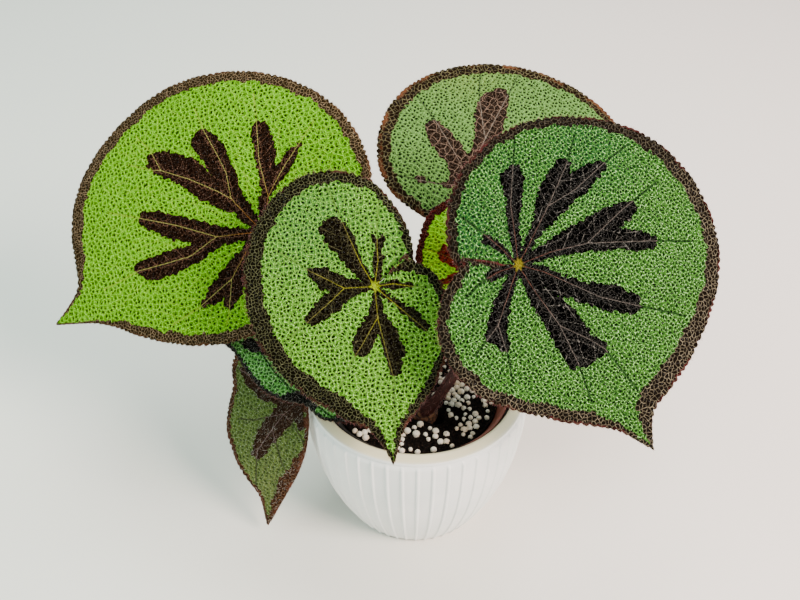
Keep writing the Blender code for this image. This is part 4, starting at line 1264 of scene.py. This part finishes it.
def blade_finish(letter):
    """A blade's skin: green net with pits in painted shade, ridges partly in painted highlight with painted
    glints, cross and band cell by cell, veins, paler underside.
    """
    look = LOOKS[letter]
    colour = {key: linear(*look[key]) for key in COLOUR_KEYS}
    material, _ = start_finish("blade skin " + letter, 0.5, 0.0)
    tree = material.node_tree
    place, pits, ridge, web = net_of(tree, look["cell"], look["web_cell"])
    near = arrow("LENGTH", place)
    own = add(tree, "ShaderNodeSeparateColor", {0: pits["Color"]}).outputs
    cloud, streak, fleck = grain(place, 14.0, 3.0), grain(place, 0.95), grain(place, 0.62, 1.0)
    uneven = times(less(streak, 0.5), 0.30)
    in_cell = plus(pits["Distance"], uneven)
    pit_size = ramp(own[1], 0.0, 1.0, look["pits"] - 0.05, look["pits"] + 0.05)
    pit = ramp(pits["Distance"], plus(pit_size, 0.08), pit_size)
    slope = ramp(plus(ridge, uneven), 0.20, 0.02)
    line = ramp(plus(ridge, times(uneven, 0.25)), 0.10, 0.03)
    web_line = ramp(web, 0.058, 0.018)
    off_vein, off_side, patch = (read(tree, key) for key in ("vein", "side_vein", "patch"))
    vein, side = ramp(off_vein, 0.32, 0.13), ramp(off_side, 0.22, 0.07)
    cobble, gaps = (cells(place, feature, look["cobble"]) for feature in ("F1", "DISTANCE_TO_EDGE"))
    knob = ramp(plus(gaps["Distance"], times(uneven, 0.5)), 0.16, 0.04)
    knob_own = add(tree, "ShaderNodeSeparateColor", {0: cobble["Color"]}).outputs[0]

    to_pit = arrow("SUBTRACT", pits["Position"], place)
    ragged = ramp(own[0], 0.0, 1.0, -0.4, 0.4)
    dark_forms = []
    for key in ("mark", "band"):
        whole_cell = times(arrow("DOT_PRODUCT", to_pit, read(tree, key + "_way", True)), 0.5)
        dark_forms.append(ramp(plus(plus(read(tree, key), whole_cell), ragged), 0.2, -0.2))
    in_mark, in_band = dark_forms

    # The flecks in the fleck colour and the glints along the ridges are painted highlights on the green.
    glint = times(ramp(fleck, 0.52, 0.62), ramp(ridge, 0.16, 0.04))
    # In the green the ridge colour on the slopes is partly painted highlight; the low colour round each pit
    # and the pit colour are painted shade.
    green = coats(
        colour["green"],
        (patch, colour["patch"]),
        (ramp(cloud, 0.35, 0.65, 0.0, 0.35), colour["low"]),
        (ramp(own[2], 0.3, 1.0, 0.0, 0.6), colour["low"]),
        (times(slope, 0.75), colour["ridge"]),
        (ramp(streak, 0.44, 0.30, 0.0, 0.8), colour["low"]),
        (ramp(in_cell, 0.35, 0.16, 0.0, 0.55), colour["low"]),
        (ramp(fleck, 0.60, 0.72, 0.0, 0.6), colour["fleck"]),
        (times(glint, look["gloss"]), colour["fleck"]),
        (times(web_line, 0.2), colour["line"]),
        (times(patch, 0.3), colour["patch"]),
        (ramp(off_side, 0.42, 0.12, 0.0, 0.5), colour["line"]),
        (ramp(off_vein, 0.7, 0.25, 0.0, 0.85), colour["line"]),
        (pit, colour["pit"]))

    # The dots in the mark are painted glints.
    dot = times(ramp(fleck, 0.56, 0.66), ramp(knob_own, 0.35, 0.9, 0.0, 0.75))
    shown = most(look["fine"], ramp(off_vein, 2.8, 0.8, 0.0, look["ribs"]))
    net = ramp(cloud, 0.3, 0.7, 0.6 * look["net"], look["net"])
    mark = coats(
        colour["mark"],
        (ramp(in_cell, 0.14, 0.42, 0.0, look["mid"]), colour["web"]),
        (times(line, shown), colour["web"]),
        (times(dot, look["dots"]), colour["web"]),
        (times(web_line, net), colour["web"]),
        (times(side, 0.75), colour["web"]),
        (vein, tint(ramp(near, 8.0, 32.0), colour["root_vein"], colour["vein"])))

    lit = times(knob, ramp(knob_own, 0.0, 1.0, 0.35, 1.0))
    lit = times(lit, ramp(streak, 0.36, 0.60, 0.2, 1.0))
    # On blade c the band's pale cobbles fade on the side away from the tip: painted shade.
    lit = times(lit, ramp(axis_of(place, "X"), -20.0, 40.0, look["band_fade"], 1.0))
    rim = ramp(read(tree, "edge_gap"), 1.3 * look["edge_reach"], 0.4 * look["edge_reach"], 0.0, 0.55)
    rim = times(rim, ramp(cloud, 0.45, 0.6))
    band = coats(colour["band"], (lit, colour["band_web"]), (rim, colour["edge"]))
    star = most(times(ramp(off_vein, 0.7, 0.2), ramp(near, 3.4, 1.6)), ramp(near, 1.9, 1.1))
    top = coats(green, (in_mark, mark), (in_band, band), (star, colour["star"]))

    red = linear(132, 62, 54)
    under = coats(
        linear(104, 128, 70),
        (ramp(cloud, 0.3, 0.7), linear(84, 106, 58)),
        (times(in_mark, 0.55), linear(104, 66, 56)),
        (times(in_band, 0.7), linear(120, 66, 54)),
        (times(web_line, 0.5), red),
        (most(ramp(off_vein, 1.2, 0.7), side), red))

    dark = most(in_mark, in_band)
    bumps = plus(times(less(slope, times(pit, 1.2)), less(1.0, dark)), times(knob, times(dark, 1.4)))
    bumps = plus(less(bumps, times(vein, 0.8)), times(fleck, 0.7))
    given = {
        "Base Color": tint(read(tree, "skin"), under, top),
        "Roughness": plus(ramp(streak, 0.3, 0.7, 0.32, 0.46), times(dark, 0.10)),
        "Specular IOR Level": ramp(fleck, 0.62, 0.72, 0.0, 0.5),
    }
    return end_finish(material, given, bumps, 0.45 * MM)


puckered = skin_tree()
margin_spots, margin_ways = [], []
face_spots, face_ways = [], []
for letter, leaf in LEAVES.items():
    outline, is_margin = blade_outline(leaf)
    upper_flat, upper_corners = spread_sheet(leaf, outline, UPPER_STEP)
    under_flat, under_corners = spread_sheet(leaf, outline, UNDER_STEP)
    edge_angle, edge_radius = turn_of(leaf, outline)
    first_edge = np.arange(len(outline)) < np.argmax(is_margin)
    edge_angle = np.where(first_edge, leaf["sinus"] - 360.0 + SINUS_SLIT, edge_angle)
    upper = blade_surface(leaf, *turn_of(leaf, upper_flat))
    under = blade_surface(leaf, *turn_of(leaf, under_flat), sunk=BLADE_THICKNESS)
    bulge = np.where(is_margin, RIM_BULGE, 0.0)
    rim = blade_surface(leaf, edge_angle, edge_radius + bulge, sunk=BLADE_THICKNESS / 2.0)
    for half, sunk in ((upper, 0.0), (under, BLADE_THICKNESS)):
        half[:len(outline)] = blade_surface(leaf, edge_angle, edge_radius, sunk)
    here = np.arange(len(outline))
    after = np.roll(here, -1)
    low = len(upper) + here
    low_after = len(upper) + after
    base = len(upper) + len(outline)
    sides = [np.stack(way, 1) for way in (
        (after, here, low), (after, low, low_after),
        (low_after, low, base + here), (low_after, base + here, base + after))]
    corners = np.concatenate([upper_corners, *sides, base + under_corners[:, ::-1]])
    if leaf["hand"] < 0:
        corners = corners[:, ::-1]
    parts = [blade_attributes(leaf, letter, flat, outline, is_margin)
             for flat in (upper_flat, outline, under_flat)]
    attributes = {key: np.concatenate([part[key] for part in parts]) for key in parts[0]}
    attributes["skin"] = np.repeat((1.0, 0.5, 0.0), (len(upper), len(rim), len(under)))
    blade_mesh = plain_mesh("blade", np.concatenate([upper, rim, under]), corners, **attributes)
    blade = shaped("begonia_blade_" + letter, blade_mesh, puckered, blade_finish(letter),
                   Cell_Size=LOOKS[letter]["cell"], Web_Size=LOOKS[letter]["web_cell"],
                   Pit_Depth=PIT_DEPTH * MM, Ridge_Height=RIDGE_HEIGHT * MM,
                   Cobble_Height=COBBLE_HEIGHT * MM, Vein_Depth=VEIN_DEPTH * MM)
    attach(blade, "root")
    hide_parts("blade_" + letter)
    ways = unit(blade_surface(leaf, edge_angle, edge_radius + 0.5, sunk=BLADE_THICKNESS / 2.0) - rim)
    for spot, way, wanted in zip(rim, ways, is_margin):
        if wanted:
            margin_spots.append(spot)
            margin_ways.append(way)
    if letter in "fg":
        marked = attributes["mark"][:len(upper)] < 0.5
        banded = attributes["band"][:len(upper)] < 0.0
        chosen = np.flatnonzero(marked | banded)
        chosen = hair_rng.choice(chosen, min(len(chosen), FACE_HAIRS), replace=False)
        face_spots.append(upper[chosen])
        face_ways.append(np.tile(leaf_frame(leaf)[3], (len(chosen), 1)))

margin_hairs = haired("margin_hairs", margin_spots, margin_ways,
                      ("crimson hair", linear(104, 46, 46), linear(176, 116, 114)),
                      Hair_Length=0.9 * MM, Hair_Radius=0.04 * MM, Bend=0.3, Spread=0.5, Seed=5)
face_hairs = haired("face_hairs", np.concatenate(face_spots), np.concatenate(face_ways),
                    ("grey hair", linear(140, 140, 132), linear(190, 190, 180)),
                    Hair_Length=1.6 * MM, Hair_Radius=0.04 * MM, Bend=0.4, Spread=0.6, Seed=6)
for hairs in (margin_hairs, face_hairs):
    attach(hairs, "root")

# Studio
# A pale floor under soft light, cool from the left and warm from the right, with painted light tinting the
# floor green on the left and pink on the right.
FLOOR_RADIUS = 3.0
FLOOR_SIDES = 96
ROOM_COLOUR = (0.85, 0.98, 0.97, 1.0)
ROOM_STRENGTH = 0.85
CAMERA_PLACE = (-0.00815, -0.32876, 0.39489)
CAMERA_TILT = 51.46
CAMERA_LENS = 40.5


def floor_finish():
    """Pale matt paper, hardly mottled, with painted light tinting it faintly green on the left and pink on
    the right.
    """
    material, place = start_finish("pale floor", 0.6, 0.3)
    # The green to pink tint across the floor is painted light.
    across = ramp(axis_of(place, "X"), -0.45, 0.45)
    cloud = ramp(grain(place, 0.6), 0.3, 0.7, 0.0, 0.1)
    lit_paper = coats(linear(218, 226, 216), (across, linear(238, 225, 217)), (cloud, linear(238, 236, 230)))
    return end_finish(material, {"Base Color": lit_paper})


turns = np.arange(FLOOR_SIDES) * math.tau / FLOOR_SIDES
points, corners = turned([(FLOOR_RADIUS / MM, 0.0), (0.0, 0.0)], turns)
floor = placed("floor", plain_mesh("floor", points, corners), floor_finish())

world = bpy.data.worlds.new("pale room")
world.use_nodes = True
world.node_tree.nodes["Background"].inputs["Color"].default_value = ROOM_COLOUR
world.node_tree.nodes["Background"].inputs["Strength"].default_value = ROOM_STRENGTH
bpy.context.scene.world = world

LIGHTS = (
    ("left window", (-1.1, -0.3, 1.0), 0.9, 8.0, (0.76, 1.0, 0.92)),
    ("right lamp", (0.9, -0.7, 1.0), 0.6, 50.0, (1.0, 0.81, 0.73)),
    ("top panel", (0.1, 0.5, 1.5), 1.0, 22.0, (1.0, 0.99, 0.97)),
)
AIM = Vector((0.0, 0.0, 0.12))
for name, place, size, power, colour in LIGHTS:
    light = bpy.data.lights.new(name, "AREA")
    light.shape = "DISK"
    light.size = size
    light.energy = power
    light.color = colour
    lamp = bpy.data.objects.new(name, light)
    lamp.location = place
    lamp.rotation_euler = (AIM - Vector(place)).to_track_quat("-Z", "Y").to_euler()
    bpy.context.collection.objects.link(lamp)

camera = bpy.data.cameras.new("camera")
camera.sensor_width = 36.0
camera.lens = CAMERA_LENS
viewer = bpy.data.objects.new("camera", camera)
viewer.location = CAMERA_PLACE
viewer.rotation_euler = (math.radians(CAMERA_TILT), 0.0, 0.0)
bpy.context.collection.objects.link(viewer)
bpy.context.scene.camera = viewer
